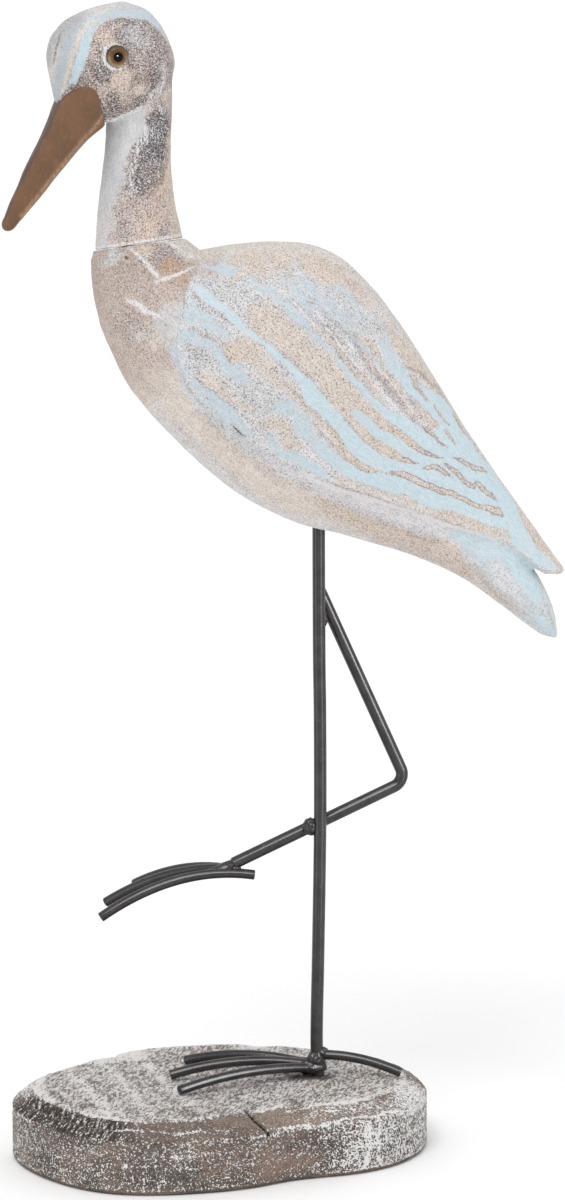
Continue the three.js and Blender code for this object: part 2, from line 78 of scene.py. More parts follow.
# Sizes of the voxels that join each piece's shells
BODY_VOXEL = 0.9
HEAD_VOXEL = 0.55
BASE_VOXEL = 0.85
# A step forwards and one back, which take out the voxels' steps without shrinking the skin
STEP_FREE = (0.5, -0.52)


def line(stations):
    """Smooth line through a few (position, value) stations."""
    places = np.array([station[0] for station in stations], float)
    values = np.array([station[1] for station in stations], float)
    last = len(places) - 1
    before = np.maximum(np.arange(last + 1) - 1, 0)
    after = np.minimum(np.arange(last + 1) + 1, last)
    slopes = (values[after] - values[before]) / (places[after] - places[before])

    def at(position):
        position = np.asarray(position, float)
        i = np.clip(np.searchsorted(places, position, side="left") - 1, 0, last - 1)
        span = places[i + 1] - places[i]
        t = np.clip((position - places[i]) / span, 0, 1)
        hold = 2 * t**3 - 3 * t**2 + 1
        lead = (t**3 - 2 * t**2 + t) * span * slopes[i]
        trail = (t**3 - t**2) * span * slopes[i + 1]
        return hold * values[i] + (1 - hold) * values[i + 1] + lead + trail

    return at


def smoothstep(value, low, high):
    t = np.clip((value - low) / (high - low), 0, 1)
    return t * t * (3 - 2 * t)


def squared(value, exponent):
    """Signed power, which squares off a round section."""
    return np.sign(value) * np.abs(value) ** (2 / exponent)


def around(sides):
    """Even angles of a full turn."""
    return np.linspace(0, 2 * np.pi, sides, endpoint=False)


def oval(front, back, breadth, angles, squareness=2):
    """A level ring from a front to a back, as wide as a breadth on each side."""
    x = (front + back) / 2 + (back - front) / 2 * squared(np.cos(angles), squareness)
    return x, breadth * squared(np.sin(angles), squareness)


def level_ring(radius, height, angles):
    return np.stack([radius * np.cos(angles), radius * np.sin(angles), np.full(len(angles), height)], 1)


def eased(start, end, count, easing=0.65):
    t = np.linspace(0, 1, count)
    return start + (end - start) * ((1 - easing) * t + easing * (1 - np.cos(np.pi * t)) / 2)


# Whole numbers that mix a cell's place into a number that looks random
CELL_FACTORS = (374761393, 668265263, 1274126177)
SEED_FACTOR = 974634777
MIXES = ((13, 1103515245), (16, 668265263))
LAST_SHIFT = 15
FOUR_BYTES = 0xFFFFFFFF
TWO_BYTES = 0xFFFF


def lattice(cells, seed):
    """A fixed random number from 0 to 1 for each whole-numbered cell."""
    mixed = sum(cells[..., i] * factor for i, factor in enumerate(CELL_FACTORS))
    mixed = (mixed + seed * SEED_FACTOR) & FOUR_BYTES
    for shift, factor in MIXES:
        mixed = ((mixed ^ (mixed >> shift)) * factor) & FOUR_BYTES
    return ((mixed ^ (mixed >> LAST_SHIFT)) & TWO_BYTES) / TWO_BYTES


def grain(places, size, seed):
    """Smooth random field from 0 to 1, with features of about a size in millimetres."""
    scaled = places / np.asarray(size, float)
    cells = np.floor(scaled).astype(np.int64)
    part = scaled - cells
    part = part * part * (3 - 2 * part)
    total = np.zeros(len(places))
    for corner in np.ndindex(2, 2, 2):
        step = np.array(corner)
        total += np.prod(np.where(step, part, 1 - part), axis=-1) * lattice(cells + step, seed)
    return total


def rugged(places, size, seed, octaves=3):
    """Several grains on each other, each half as large, kept from 0 to 1."""
    total = np.zeros(len(places))
    reach = 0.0
    for octave in range(octaves):
        share = 0.5**octave
        total += share * grain(places, np.asarray(size, float) * share, seed + octave)
        reach += share
    return total / reach


def ragged(places, size, amount, seed):
    """A small random shift, for the edges that a worn brush leaves."""
    return amount * 2 * (rugged(places, size, seed, 2) - 0.5)


# Strokes: each makes a signed distance in millimetres, above zero inside
def band(stations):
    """A stretch between a lower and an upper line: (along, low, high) at each station."""
    places, lows, highs = (np.array(column, float) for column in zip(*stations))

    def inside(along, across):
        low = np.interp(along, places, lows)
        high = np.interp(along, places, highs)
        ends = np.minimum(along - places[0], places[-1] - along)
        return np.minimum(np.minimum(across - low, high - across), ends)

    return inside


def stroke(points, width):
    """A brush stroke of one width, or of one width at each point, along a few points."""
    widths = np.broadcast_to(np.asarray(width, float), (len(points),))

    def inside(along, across):
        best = np.full(np.shape(along), -1e3)
        for i, ((ax, ay), (bx, by)) in enumerate(zip(points, points[1:])):
            length = (bx - ax) ** 2 + (by - ay) ** 2
            t = np.clip(((along - ax) * (bx - ax) + (across - ay) * (by - ay)) / length, 0, 1)
            away = np.hypot(along - ax - t * (bx - ax), across - ay - t * (by - ay))
            half = (widths[i] + t * (widths[i + 1] - widths[i])) / 2
            best = np.maximum(best, half - away)
        return best

    return inside


def spot(centre, reach, turn=0.0):
    """An oval patch with two half widths, turned by some degrees."""
    cos, sin = math.cos(math.radians(turn)), math.sin(math.radians(turn))

    def inside(along, across):
        da, dc = along - centre[0], across - centre[1]
        away = np.hypot((da * cos + dc * sin) / reach[0], (dc * cos - da * sin) / reach[1])
        return (1 - away) * min(reach)

    return inside


def either(*shapes):
    """One shape or another."""
    return lambda along, across: union(shape(along, across) for shape in shapes)


def union(parts):
    return np.maximum.reduce(list(parts))


# Shells and meshes
def shell(rings):
    """Closed skin over rings of points: its points and its faces."""
    rings = np.asarray(rings, float)
    count, sides = rings.shape[:2]
    points = np.concatenate([rings.reshape(-1, 3), rings[:1].mean(1), rings[-1:].mean(1)])
    first, last = count * sides, count * sides + 1
    k = np.arange(sides)
    after = (k + 1) % sides
    faces = []
    for r in range(count - 1):
        a = r * sides
        faces += np.stack([a + k, a + after, a + sides + after, a + sides + k], 1).tolist()
    faces += np.stack([np.full(sides, first), after, k], 1).tolist()
    top = (count - 1) * sides
    faces += np.stack([np.full(sides, last), top + k, top + after], 1).tolist()
    return points, faces


def mesh_of(name, shells):
    points, faces, offset = [], [], 0
    for places, corners in shells:
        points.append(places)
        faces += [[corner + offset for corner in face] for face in corners]
        offset += len(places)
    mesh = bpy.data.meshes.new(name)
    mesh.from_pydata(np.concatenate(points).tolist(), [], faces)
    return mesh


def object_of(name, mesh):
    piece = bpy.data.objects.new(name, mesh)
    bpy.context.scene.collection.objects.link(piece)
    return piece


def joined(name, shells, voxel):
    """One skin round all the shells, made of even faces."""
    rough = object_of(name + "_rough", mesh_of(name + "_rough", shells))
    voxels = rough.modifiers.new("voxels", "REMESH")
    voxels.mode = "VOXEL"
    voxels.voxel_size = voxel
    graph = bpy.context.evaluated_depsgraph_get()
    fine = bpy.data.meshes.new_from_object(rough.evaluated_get(graph))
    fine.name = name
    old = rough.data
    bpy.data.objects.remove(rough)
    bpy.data.meshes.remove(old)
    return fine


def places_of(mesh):
    flat = np.empty(len(mesh.vertices) * 3, np.float32)
    mesh.vertices.foreach_get("co", flat)
    return flat.reshape(-1, 3).astype(float)


def set_places(mesh, places):
    mesh.vertices.foreach_set("co", places.astype(np.float32).ravel())
    mesh.update()


def normals_of(mesh):
    flat = np.empty(len(mesh.vertices) * 3, np.float32)
    mesh.vertices.foreach_get("normal", flat)
    return flat.reshape(-1, 3).astype(float)


def relax(mesh, steps, where=1.0):
    """Moves each point towards its neighbours' middle, by each step in turn."""
    places = places_of(mesh)
    edges = np.empty(len(mesh.edges) * 2, np.int32)
    mesh.edges.foreach_get("vertices", edges)
    a, b = edges.reshape(-1, 2).T
    count = len(places)
    degree = np.bincount(edges, minlength=count)[:, None]
    where = np.broadcast_to(where, count)[:, None]
    for step in steps:
        total = np.stack([np.bincount(a, places[b, i], count) + np.bincount(b, places[a, i], count)
                          for i in range(3)], 1)
        places = places + step * where * (total / degree - places)
    set_places(mesh, places)


def raise_by(mesh, heights):
    set_places(mesh, places_of(mesh) + normals_of(mesh) * heights[:, None])


def keep_field(mesh, name, values):
    field = mesh.attributes.new(name, "FLOAT", "POINT")
    field.data.foreach_set("value", np.asarray(values, np.float32))


def keep_vectors(mesh, name, vectors):
    field = mesh.attributes.new(name, "FLOAT_VECTOR", "POINT")
    field.data.foreach_set("vector", np.stack(vectors, 1).astype(np.float32).ravel())


def keep_colour(mesh, name, colours):
    field = mesh.attributes.new(name, "FLOAT_COLOR", "POINT")
    full = np.concatenate([colours, np.ones((len(colours), 1))], 1)
    field.data.foreach_set("color", full.astype(np.float32).ravel())


def turned_by(angle, x, y):
    cos, sin = math.cos(angle), math.sin(angle)
    return x * cos - y * sin, x * sin + y * cos


def in_head_place(points):
    """From the head's own frame to the part's frame, both in millimetres."""
    x, y = turned_by(HEAD_TURN, points[:, 0], points[:, 1])
    return np.stack([x, y, points[:, 2]], 1) + SEAM_PLACE + BIRD_PLACE


def in_bird_place(points):
    return points + BIRD_PLACE


def finished(name, mesh, place, material, nodes):
    """Puts a mesh in place as a named piece that stands for its solids."""
    set_places(mesh, place(places_of(mesh)) * MM)
    mesh.shade_smooth()
    piece = object_of(name, mesh)
    mesh.materials.clear()
    mesh.materials.append(material)
    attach(piece, BODY)
    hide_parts(*nodes)
    return piece


# Colours, as seen in even light
def seen(red, green, blue):
    """Linear colour from one seen on a screen."""
    tone = np.array([red, green, blue], float) / 255
    return np.where(tone <= 0.04045, tone / 12.92, ((tone + 0.055) / 1.055) ** 2.4)


TAN = seen(214, 199, 185)
PEACH = seen(212, 194, 180)
SLIVER = seen(213, 201, 193)
ORANGE = seen(196, 164, 140)
BEIGE = seen(220, 212, 204)
WHITEWASH = seen(222, 221, 224)
GREY_WHITE = seen(206, 207, 209)
CAP_GREY = seen(199, 201, 203)
HAZE_BLUE = seen(207, 214, 218)
LAVENDER = seen(204, 210, 219)
MAUVE = seen(168, 155, 152)
MAUVE_DARK = seen(132, 122, 122)
BROWN = seen(176, 158, 149)
BREAST = seen(196, 180, 170)
BREAST_PAINTED_SHADE = seen(182, 165, 154)
BELLY = seen(222, 211, 202)
THROAT = seen(210, 210, 212)
THROAT_PAINTED_SHADE = seen(190, 190, 193)
NECK_BASE = seen(205, 188, 178)
NECK_TAN = seen(214, 190, 174)
FACE_BASE = seen(150, 133, 126)
FOREHEAD_PAINTED_SHADE = seen(176, 175, 177)
NAPE_DARK = seen(108, 106, 111)
NAPE_BROWN = seen(140, 125, 119)
CHALK = seen(228, 227, 228)
SKY = seen(199, 218, 226)
SKY_PALE = seen(207, 217, 223)
SKY_DULL = seen(180, 190, 196)
DARK_RIM = seen(126, 116, 110)
INK_AND_SHADE = seen(72, 66, 64)


class Paint:
    """Fields that a painted wooden skin carries: its ground colour, its speckle and its top paint."""

    START = {"speck": 0.3, "fleck": 0.2, "grit": 0.35, "chalk_and_highlight": 0.0, "blue": -9.0, "worn": 0.3, "dull": 0.0,
             "rim": 0.0, "ink": -9.0}

    def __init__(self, mesh, along, across, ground):
        self.mesh = mesh
        self.along = along
        self.across = across
        self.ground = np.tile(ground, (len(along), 1))
        for name, value in self.START.items():
            setattr(self, name, np.full(len(along), value))

    def wash(self, inside, colour, soft=2.0, amount=1.0, speck=None, fleck=None, grit=None):
        """A patch of ground colour with a soft edge, which can change the speckle too."""
        cover = smoothstep(inside, -soft / 2, soft / 2) * amount
        self.ground += cover[:, None] * (colour - self.ground)
        for name, value in (("speck", speck), ("fleck", fleck), ("grit", grit)):
            if value is not None:
                field = getattr(self, name)
                field += cover * (value - field)

    def lay(self, washes):
        """Shapes washed on each other, each with its colour and the other looks of a wash."""
        for shape, *looks in washes:
            self.wash(shape(self.along, self.across), *looks)

    def brush(self, inside, soft=1.0, amount=1.0):
        """A dry stroke of white; the one along the wing's lower edge is a painted highlight."""
        self.chalk_and_highlight = np.maximum(self.chalk_and_highlight, smoothstep(inside, -soft, soft) * amount)

    def brush_all(self, along, across, strokes):
        for shape, *looks in strokes:
            self.brush(shape(along, across), *looks)

    def keep(self):
        keep_colour(self.mesh, "ground", np.clip(self.ground, 0, 1))
        for name in self.START:
            keep_field(self.mesh, name, getattr(self, name))


# Node materials

# How far the grain of each next seed is shifted, in millimetres
SEED_STEPS = (13.7, 7.1, 3.9)


class Shade:
    """Short names for the nodes of one material."""

    def __init__(self, name):
        self.material = bpy.data.materials.new(name)
        self.material.use_nodes = True
        self.tree = self.material.node_tree
        self.shader = self.tree.nodes["Principled BSDF"]
        place = self.add("ShaderNodeTexCoord").outputs["Object"]
        self.place = self.vector("SCALE", place, scale=1 / MM)

    def add(self, kind, **settings):
        node = self.tree.nodes.new(kind)
        for name, value in settings.items():
            setattr(node, name, value)
        return node

    def feed(self, socket, value):
        if isinstance(value, bpy.types.NodeSocket):
            self.tree.links.new(value, socket)
        else:
            socket.default_value = value

    def vector(self, kind, a, b=None, scale=None):
        node = self.add("ShaderNodeVectorMath", operation=kind)
        self.feed(node.inputs[0], a)
        if b is not None:
            self.feed(node.inputs[1], b)
        if scale is not None:
            node.inputs["Scale"].default_value = scale
        return node.outputs[0]

    def math(self, kind, a, b=0.0, clamp=False):
        node = self.add("ShaderNodeMath", operation=kind, use_clamp=clamp)
        self.feed(node.inputs[0], a)
        self.feed(node.inputs[1], b)
        return node.outputs[0]

    def plus(self, a, b):
        return self.math("ADD", a, b)

    def minus(self, a, b):
        return self.math("SUBTRACT", a, b)

    def times(self, a, b):
        return self.math("MULTIPLY", a, b)

    def blend(self, share, a, b):
        """A share of one value and the rest of another."""
        return self.plus(self.times(a, share), self.times(b, 1 - share))

    def span(self, value, low, high, to_low=0.0, to_high=1.0):
        """Moves a value from one range to another, held at both ends."""
        node = self.add("ShaderNodeMapRange", interpolation_type="SMOOTHSTEP")
        for socket, given in zip(node.inputs, (value, low, high, to_low, to_high)):
            self.feed(socket, given)
        return node.outputs["Result"]

    def ramp(self, value, low, high, to_low=0.0, to_high=1.0):
        """Moves a value evenly from one range to another, held at both ends."""
        result = self.span(value, low, high, to_low, to_high)
        result.node.interpolation_type = "LINEAR"
        return result

    def sway(self, value, to_low=0.0, to_high=1.0):
        """Moves a grain's usual range to another."""
        return self.span(value, 0.3, 0.7, to_low, to_high)

    def share(self, value, at_none, at_all):
        """Moves a share from 0 to 1 evenly to another range."""
        return self.ramp(value, 0.0, 1.0, at_none, at_all)

    def grain(self, size, seed=0.0, detail=2.0, stretch=None, roughness=0.5, place=None):
        """Noise with features of about a size in millimetres."""
        place = self.vector("ADD", place or self.place, [seed * step for step in SEED_STEPS])
        if stretch is not None:
            place = self.vector("MULTIPLY", place, stretch)
        node = self.add("ShaderNodeTexNoise")
        self.feed(node.inputs["Vector"], place)
        node.inputs["Scale"].default_value = 1 / size
        node.inputs["Detail"].default_value = detail
        node.inputs["Roughness"].default_value = roughness
        return node.outputs["Fac"]

    def field(self, name):
        return self.add("ShaderNodeAttribute", attribute_name=name).outputs["Fac"]

    def specks(self, dots, field, edge):
        """Where a grain rises over a level, which the field lowers."""
        level = self.share(self.field(field), 0.68, 0.5)
        return self.span(self.minus(dots, level), -edge, 0.05)

    def vector_field(self, name):
        return self.add("ShaderNodeAttribute", attribute_name=name).outputs["Vector"]

    def colour_field(self, name):
        return self.add("ShaderNodeAttribute", attribute_name=name).outputs["Color"]

    def mix(self, share, a, b):
        """One colour or another, by a share."""
        node = self.add("ShaderNodeMix", data_type="RGBA")
        self.feed(node.inputs["Factor"], share)
        for socket, value in ((node.inputs[6], a), (node.inputs[7], b)):
            if not isinstance(value, bpy.types.NodeSocket):
                value = (*[float(part) for part in value], 1.0)
            self.feed(socket, value)
        return node.outputs[2]

    def mix_values(self, share, a, b):
        """One value or another, by a share."""
        node = self.add("ShaderNodeMix", data_type="FLOAT")
        self.feed(node.inputs["Factor"], share)
        self.feed(node.inputs[2], a)
        self.feed(node.inputs[3], b)
        return node.outputs[0]

    def darker(self, colour, factor):
        """A colour times a grey factor that may vary."""
        node = self.add("ShaderNodeVectorMath", operation="SCALE")
        self.feed(node.inputs[0], colour)
        self.feed(node.inputs["Scale"], factor)
        return node.outputs[0]

    def bump(self, height, distance, strength):
        node = self.add("ShaderNodeBump")
        node.inputs["Strength"].default_value = strength
        node.inputs["Distance"].default_value = distance * MM
        self.feed(node.inputs["Height"], height)
        return node.outputs["Normal"]

    def done(self, colour, roughness, normal=None, **constants):
        self.feed(self.shader.inputs["Base Color"], colour)
        self.feed(self.shader.inputs["Roughness"], roughness)
        if normal is not None:
            self.feed(self.shader.inputs["Normal"], normal)
        for name, value in constants.items():
            self.shader.inputs[name.replace("_", " ")].default_value = value
        return self.material


def bare_wood(s, fine, middle, drag):
    """Light and dark grains of the bare wood and the thin first coat."""
    pepper = s.times(s.minus(fine, 0.5), s.share(s.field("grit"), 0.3, 4.4))
    tone = s.plus(s.math("MINIMUM", pepper, 0.0), s.sway(middle, 0.95, 1.05))
    tone = s.times(s.math("MAXIMUM", tone, 0.35), s.sway(drag, 0.93, 1.06))
    bright = s.math("MULTIPLY", s.math("MAXIMUM", pepper, 0.0), 0.75, clamp=True)
    return s.mix(bright, s.darker(s.colour_field("ground"), tone), CHALK)


def blue_edge(s, worn, small, fine):
    """How far inside the blue paint a place is: the edge is ragged, the more so where it is worn."""
    coarse = s.times(s.span(small, 0.25, 0.75, -1, 1), s.share(worn, 0.12, 2.0))
    crisp = s.times(s.span(fine, 0.25, 0.75, -1, 1), s.share(worn, 0.15, 2.0))
    return s.plus(s.field("blue"), s.plus(coarse, crisp))


def blue_rim(s, edge, fine):
    """The dark line along the crisp edges of the blue paint."""
    rim = s.times(s.span(edge, -0.55, -0.3), s.span(edge, 0.15, -0.1))
    return s.times(s.times(rim, s.field("rim")), s.span(fine, 0.34, 0.5, 0.4, 1.0))


def blue_coat(s, worn, fine, middle, drag):
    """The blue itself: paler, greyer and more streaky where it is worn or dull."""
    blue = s.mix(s.span(middle, 0.35, 0.7, 0.0, 0.55), SKY, SKY_PALE)
    blue = s.mix(s.span(worn, 0.3, 0.9, 0.0, 0.5), blue, LAVENDER)
    blue = s.mix(s.field("dull"), blue, SKY_DULL)
    blue = s.darker(blue, s.sway(drag, 0.94, 1.04))
    return s.darker(blue, s.ramp(fine, 0.2, 0.8, 0.88, 1.08))


def blue_cover(s, worn, edge, dots):
    """How well the blue covers: it is thin with soft edges where it is worn, and flecked."""
    soft = s.share(worn, 0.3, 1.5)
    cover = s.span(edge, s.times(soft, -0.6), soft)
    cover = s.times(cover, s.share(worn, 0.97, 0.66))
    return s.times(cover, s.span(dots, 0.6, 0.68, 1.0, 0.75))


def painted_wood():
    """Carved wood under worn, dry-brushed and speckled paint, laid out by the skin's fields."""
    s = Shade("painted_wood")
    flow = s.vector_field("flow")
    fine = s.grain(0.6, 1, detail=1)
    fine_two = s.grain(0.6, 2, detail=1)
    small = s.grain(1.4, 3, detail=2, stretch=(0.6, 1.0, 1.0), place=flow)
    middle = s.grain(5, 4, detail=3)
    drag = s.grain(0.9, 5, detail=2, stretch=(0.22, 1.0, 1.0), place=flow)
    worn = s.field("worn")

    # Dark specks and white flecks: more of them where their field is high
    ground = bare_wood(s, fine, middle, drag)
    specks = s.specks(s.blend(0.65, fine_two, small), "speck", 0.015)
    colour = s.mix(s.times(specks, 0.75), ground, s.darker(ground, 0.42))
    dots = s.blend(0.65, fine, small)
    colour = s.mix(s.times(s.specks(dots, "fleck", 0.01), 0.85), colour, WHITEWASH)
    # Dry white strokes, one of them a painted highlight, then the pale blue paint, then thin dark lines
    chalk_and_highlight = s.plus(s.field("chalk_and_highlight"), s.sway(s.blend(0.4, drag, fine_two), -0.6, 0.4))
    colour = s.mix(s.span(chalk_and_highlight, 0.35, 0.85, 0.0, 0.85), colour, CHALK)
    edge = blue_edge(s, worn, small, fine_two)
    colour = s.mix(s.times(blue_rim(s, edge, fine), 0.8), colour, DARK_RIM)
    cover = blue_cover(s, worn, edge, dots)
    colour = s.mix(cover, colour, blue_coat(s, worn, fine, middle, drag))
    # Thin dark lines: cracks, and painted shade in the forehead's groove
    lines = s.span(s.plus(s.field("ink"), s.sway(fine, -0.2, 0.2)), -0.15, 0.2)
    colour = s.mix(s.times(lines, 0.85), colour, INK_AND_SHADE)

    height = s.plus(s.blend(0.5, fine, small), s.times(cover, 0.2))
    normal = s.bump(s.minus(height, s.times(lines, 1.5)), 0.2, 0.7)
    return s.done(colour, s.span(cover, 0.0, 1.0, 0.8, 0.65), normal, Specular_IOR_Level=0.2)


# Body lines: stations along the sloping body, heights across it
belly_line = line([
    (-51.5, 5), (-47, 0.4), (-36, -10.5), (-23, -19), (-2, -28.8), (30, -34.4), (60, -35.8),
    (87, -31), (106, -23.2), (134, -12.8), (158, -6.8), (181, -5.6), (203, -5.4), (209.5, -3),
])
back_line = line([
    (-20, 33), (-8, 46), (4, 57), (18, 66.5), (33, 70.6), (50, 69), (72, 63.3),
    (101, 53), (121, 45.7), (148, 37), (172, 29.8), (193.5, 23.6),
])
core_top_line = line([
    (-51.5, 6), (-45, 14), (-30, 25), (-12, 37), (4, 53), (18, 62.5), (33, 66.8), (50, 65),
    (72, 59.5), (101, 49), (121, 41), (148, 30.5), (172, 19), (187, 14), (197, 9),
    (204, 4.2), (209.5, -1.4),
])
breadth_line = line([
    (-51.5, 4), (-48, 12), (-36, 22.5), (-20, 29.5), (0, 33.5), (30, 35.8), (60, 34),
    (90, 28.5), (120, 22), (150, 16.5), (187, 13), (201, 9.5), (209.5, 2.5),
])
wing_edge_line = line([
    (-17, 25), (-14.5, 15), (-10, 6), (-5, -2), (2, -8), (12, -12.8), (26, -15), (45, -15),
    (67, -12.2), (88, -6.5), (105, -0.6), (122, 4.4), (139, 10), (155, 15), (170, 17.4),
    (185, 18), (193.5, 22.6),
])
wing_gap_line = line([(-17, -1), (60, -1), (110, 1), (160, 2.4), (193.5, 5)])
wing_thickness_line = line([(-17, 6.6), (160, 6.6), (180, 5), (193.5, 2.6)])
stub_front_line = line([
    (318, -84), (329, -92.4), (337, -94.7), (348, -96.7), (359.4, -97.3), (366, -96.3),
])
stub_back_line = line([(318, -40), (338, -42), (350, -45), (358, -49), (366, -58)])
stub_breadth_line = line([(318, 22), (338, 22.5), (350, 21.5), (366, 19.4)])


def from_body_frame(along, across, side):
    cos, sin = math.cos(BODY_SLOPE), math.sin(BODY_SLOPE)
    x = BODY_ANCHOR[0] + along * cos + across * sin
    z = BODY_ANCHOR[1] - along * sin + across * cos
    return np.stack(np.broadcast_arrays(x, side, z), -1)


def to_body_frame(places):
    cos, sin = math.cos(BODY_SLOPE), math.sin(BODY_SLOPE)
    x = places[:, 0] - BODY_ANCHOR[0]
    z = places[:, 2] - BODY_ANCHOR[1]
    return x * cos - z * sin, x * sin + z * cos, places[:, 1]


def section(along, angles, top, lift):
    """Points of one body section, at angles from the back, grown outwards by lift."""
    low = belly_line(along) - lift
    high = top + lift
    waist = belly_line(along) + WAIST * (core_top_line(along) - belly_line(along))
    cos = squared(np.cos(angles), BODY_SQUARENESS)
    across = waist + cos * np.where(cos > 0, high - waist, waist - low)
    side = (breadth_line(along) + lift) * squared(np.sin(angles), BODY_SQUARENESS)
    return from_body_frame(np.full_like(across, along), across, side)


def body_core(count=170, sides=110):
    angles = around(sides)
    return shell([section(u, angles, core_top_line(u), 0) for u in eased(BODY_START, BODY_END, count)])


def wing(side, count=170, steps=64):
    """A leaf lying on the core, from the back's middle to its lower edge."""
    rings = []
    for u in eased(WING_START, WING_END, count):
        lift = WING_LIFT * smoothstep(u, WING_START - 3, WING_START + 9)
        top = back_line(u) - lift
        belly = belly_line(u)
        waist = belly + WAIST * (core_top_line(u) - belly)
        edge = wing_edge_line(u)
        reach = back_line(u) - waist if edge > waist else waist - (belly - lift)
        part = np.clip((edge - waist) / reach, -1, 1)
        last = math.acos(float(np.sign(part) * np.abs(part) ** (BODY_SQUARENESS / 2)))
        gap = wing_gap_line(u) / 2 / (breadth_line(u) + lift)
        first = math.asin(float(np.sign(gap) * np.abs(gap) ** (BODY_SQUARENESS / 2)))
        last = max(last, first + 0.12)
        outer = section(u, np.linspace(first, last, steps), top, lift)
        inner = section(u, np.linspace(last - 0.04, first, steps // 3), top, lift - wing_thickness_line(u))
        rings.append(np.concatenate([outer, inner]) * np.array([1, side, 1]))
    return shell(rings)


def seam_rise(forwards, side):
    return forwards * math.tan(SEAM_TILT) - side * math.tan(SEAM_ROLL)


def neck_stub(count=40, sides=90):
    angles = around(sides)
    rings = []
    for height in np.linspace(STUB_BOTTOM, SEAM_PLACE[2], count):
        share = (height - STUB_BOTTOM) / (SEAM_PLACE[2] - STUB_BOTTOM)
        x, y = oval(stub_front_line(height), stub_back_line(height), stub_breadth_line(height), angles)
        z = height + share * (seam_rise(x - SEAM_PLACE[0], y) - GAP)
        rings.append(np.stack([x, y, z], 1))
    return shell(rings)


# Carved strokes of the flank: shape, height, and the distances between which it rises
FLANK_CARVING = [
    (spot((-25.5, 24.5), (6.5, 4.6), 40), -1.1, -1.5, 3.5),
    (stroke([(-43, 19.5), (-28.5, 17.3)], 2.2), 0.5, -1.4, 0.6),
    (stroke([(-28, 15), (-19.5, 27.5)], 1.6), 0.45, -1.4, 0.6),
    (stroke([(-33, 2), (-24, 3), (-15, 5)], 2.6), 0.7, -2.4, 0.8),
    (stroke([(-31, -3.5), (-18, -4)], 7), -0.6, -3, 3),
]
# The groove that follows the wing's lower edge, a width above it
GROOVE_HALF = 1.7
GROOVE_START = 60
GROOVE_END = 168
BODY_SPLIT = stroke([(33.5, -13.3), (40.5, -14.2)], 0.9)


def body_relief(u, v, side, places):
    """Heights in millimetres of the finer carving: facets, hollows, grooves and tool marks."""
    up = np.zeros(len(u))
    flank = smoothstep(np.abs(side), 4, 12)
    for shape, height, outer, inner in FLANK_CARVING:
        up += height * smoothstep(shape(u, v), outer, inner) * flank
    edge = wing_edge_line(np.clip(u, WING_START, WING_END))
    groove = np.clip(1 - np.abs(v - edge - 2 * GROOVE_HALF) / GROOVE_HALF, 0, 1)
    deep = ((u > GROOVE_START) & (u < GROOVE_END)) * smoothstep(u, GROOVE_START, GROOVE_START + 30)
    up -= 0.4 * groove * deep
    up -= 0.9 * smoothstep(BODY_SPLIT(u, v), -0.5, 0.4)
    up += 0.5 * (rugged(places, 13, 11) - 0.5)
    up += 0.14 * (grain(places, 2.6, 15) - 0.5)
    return up


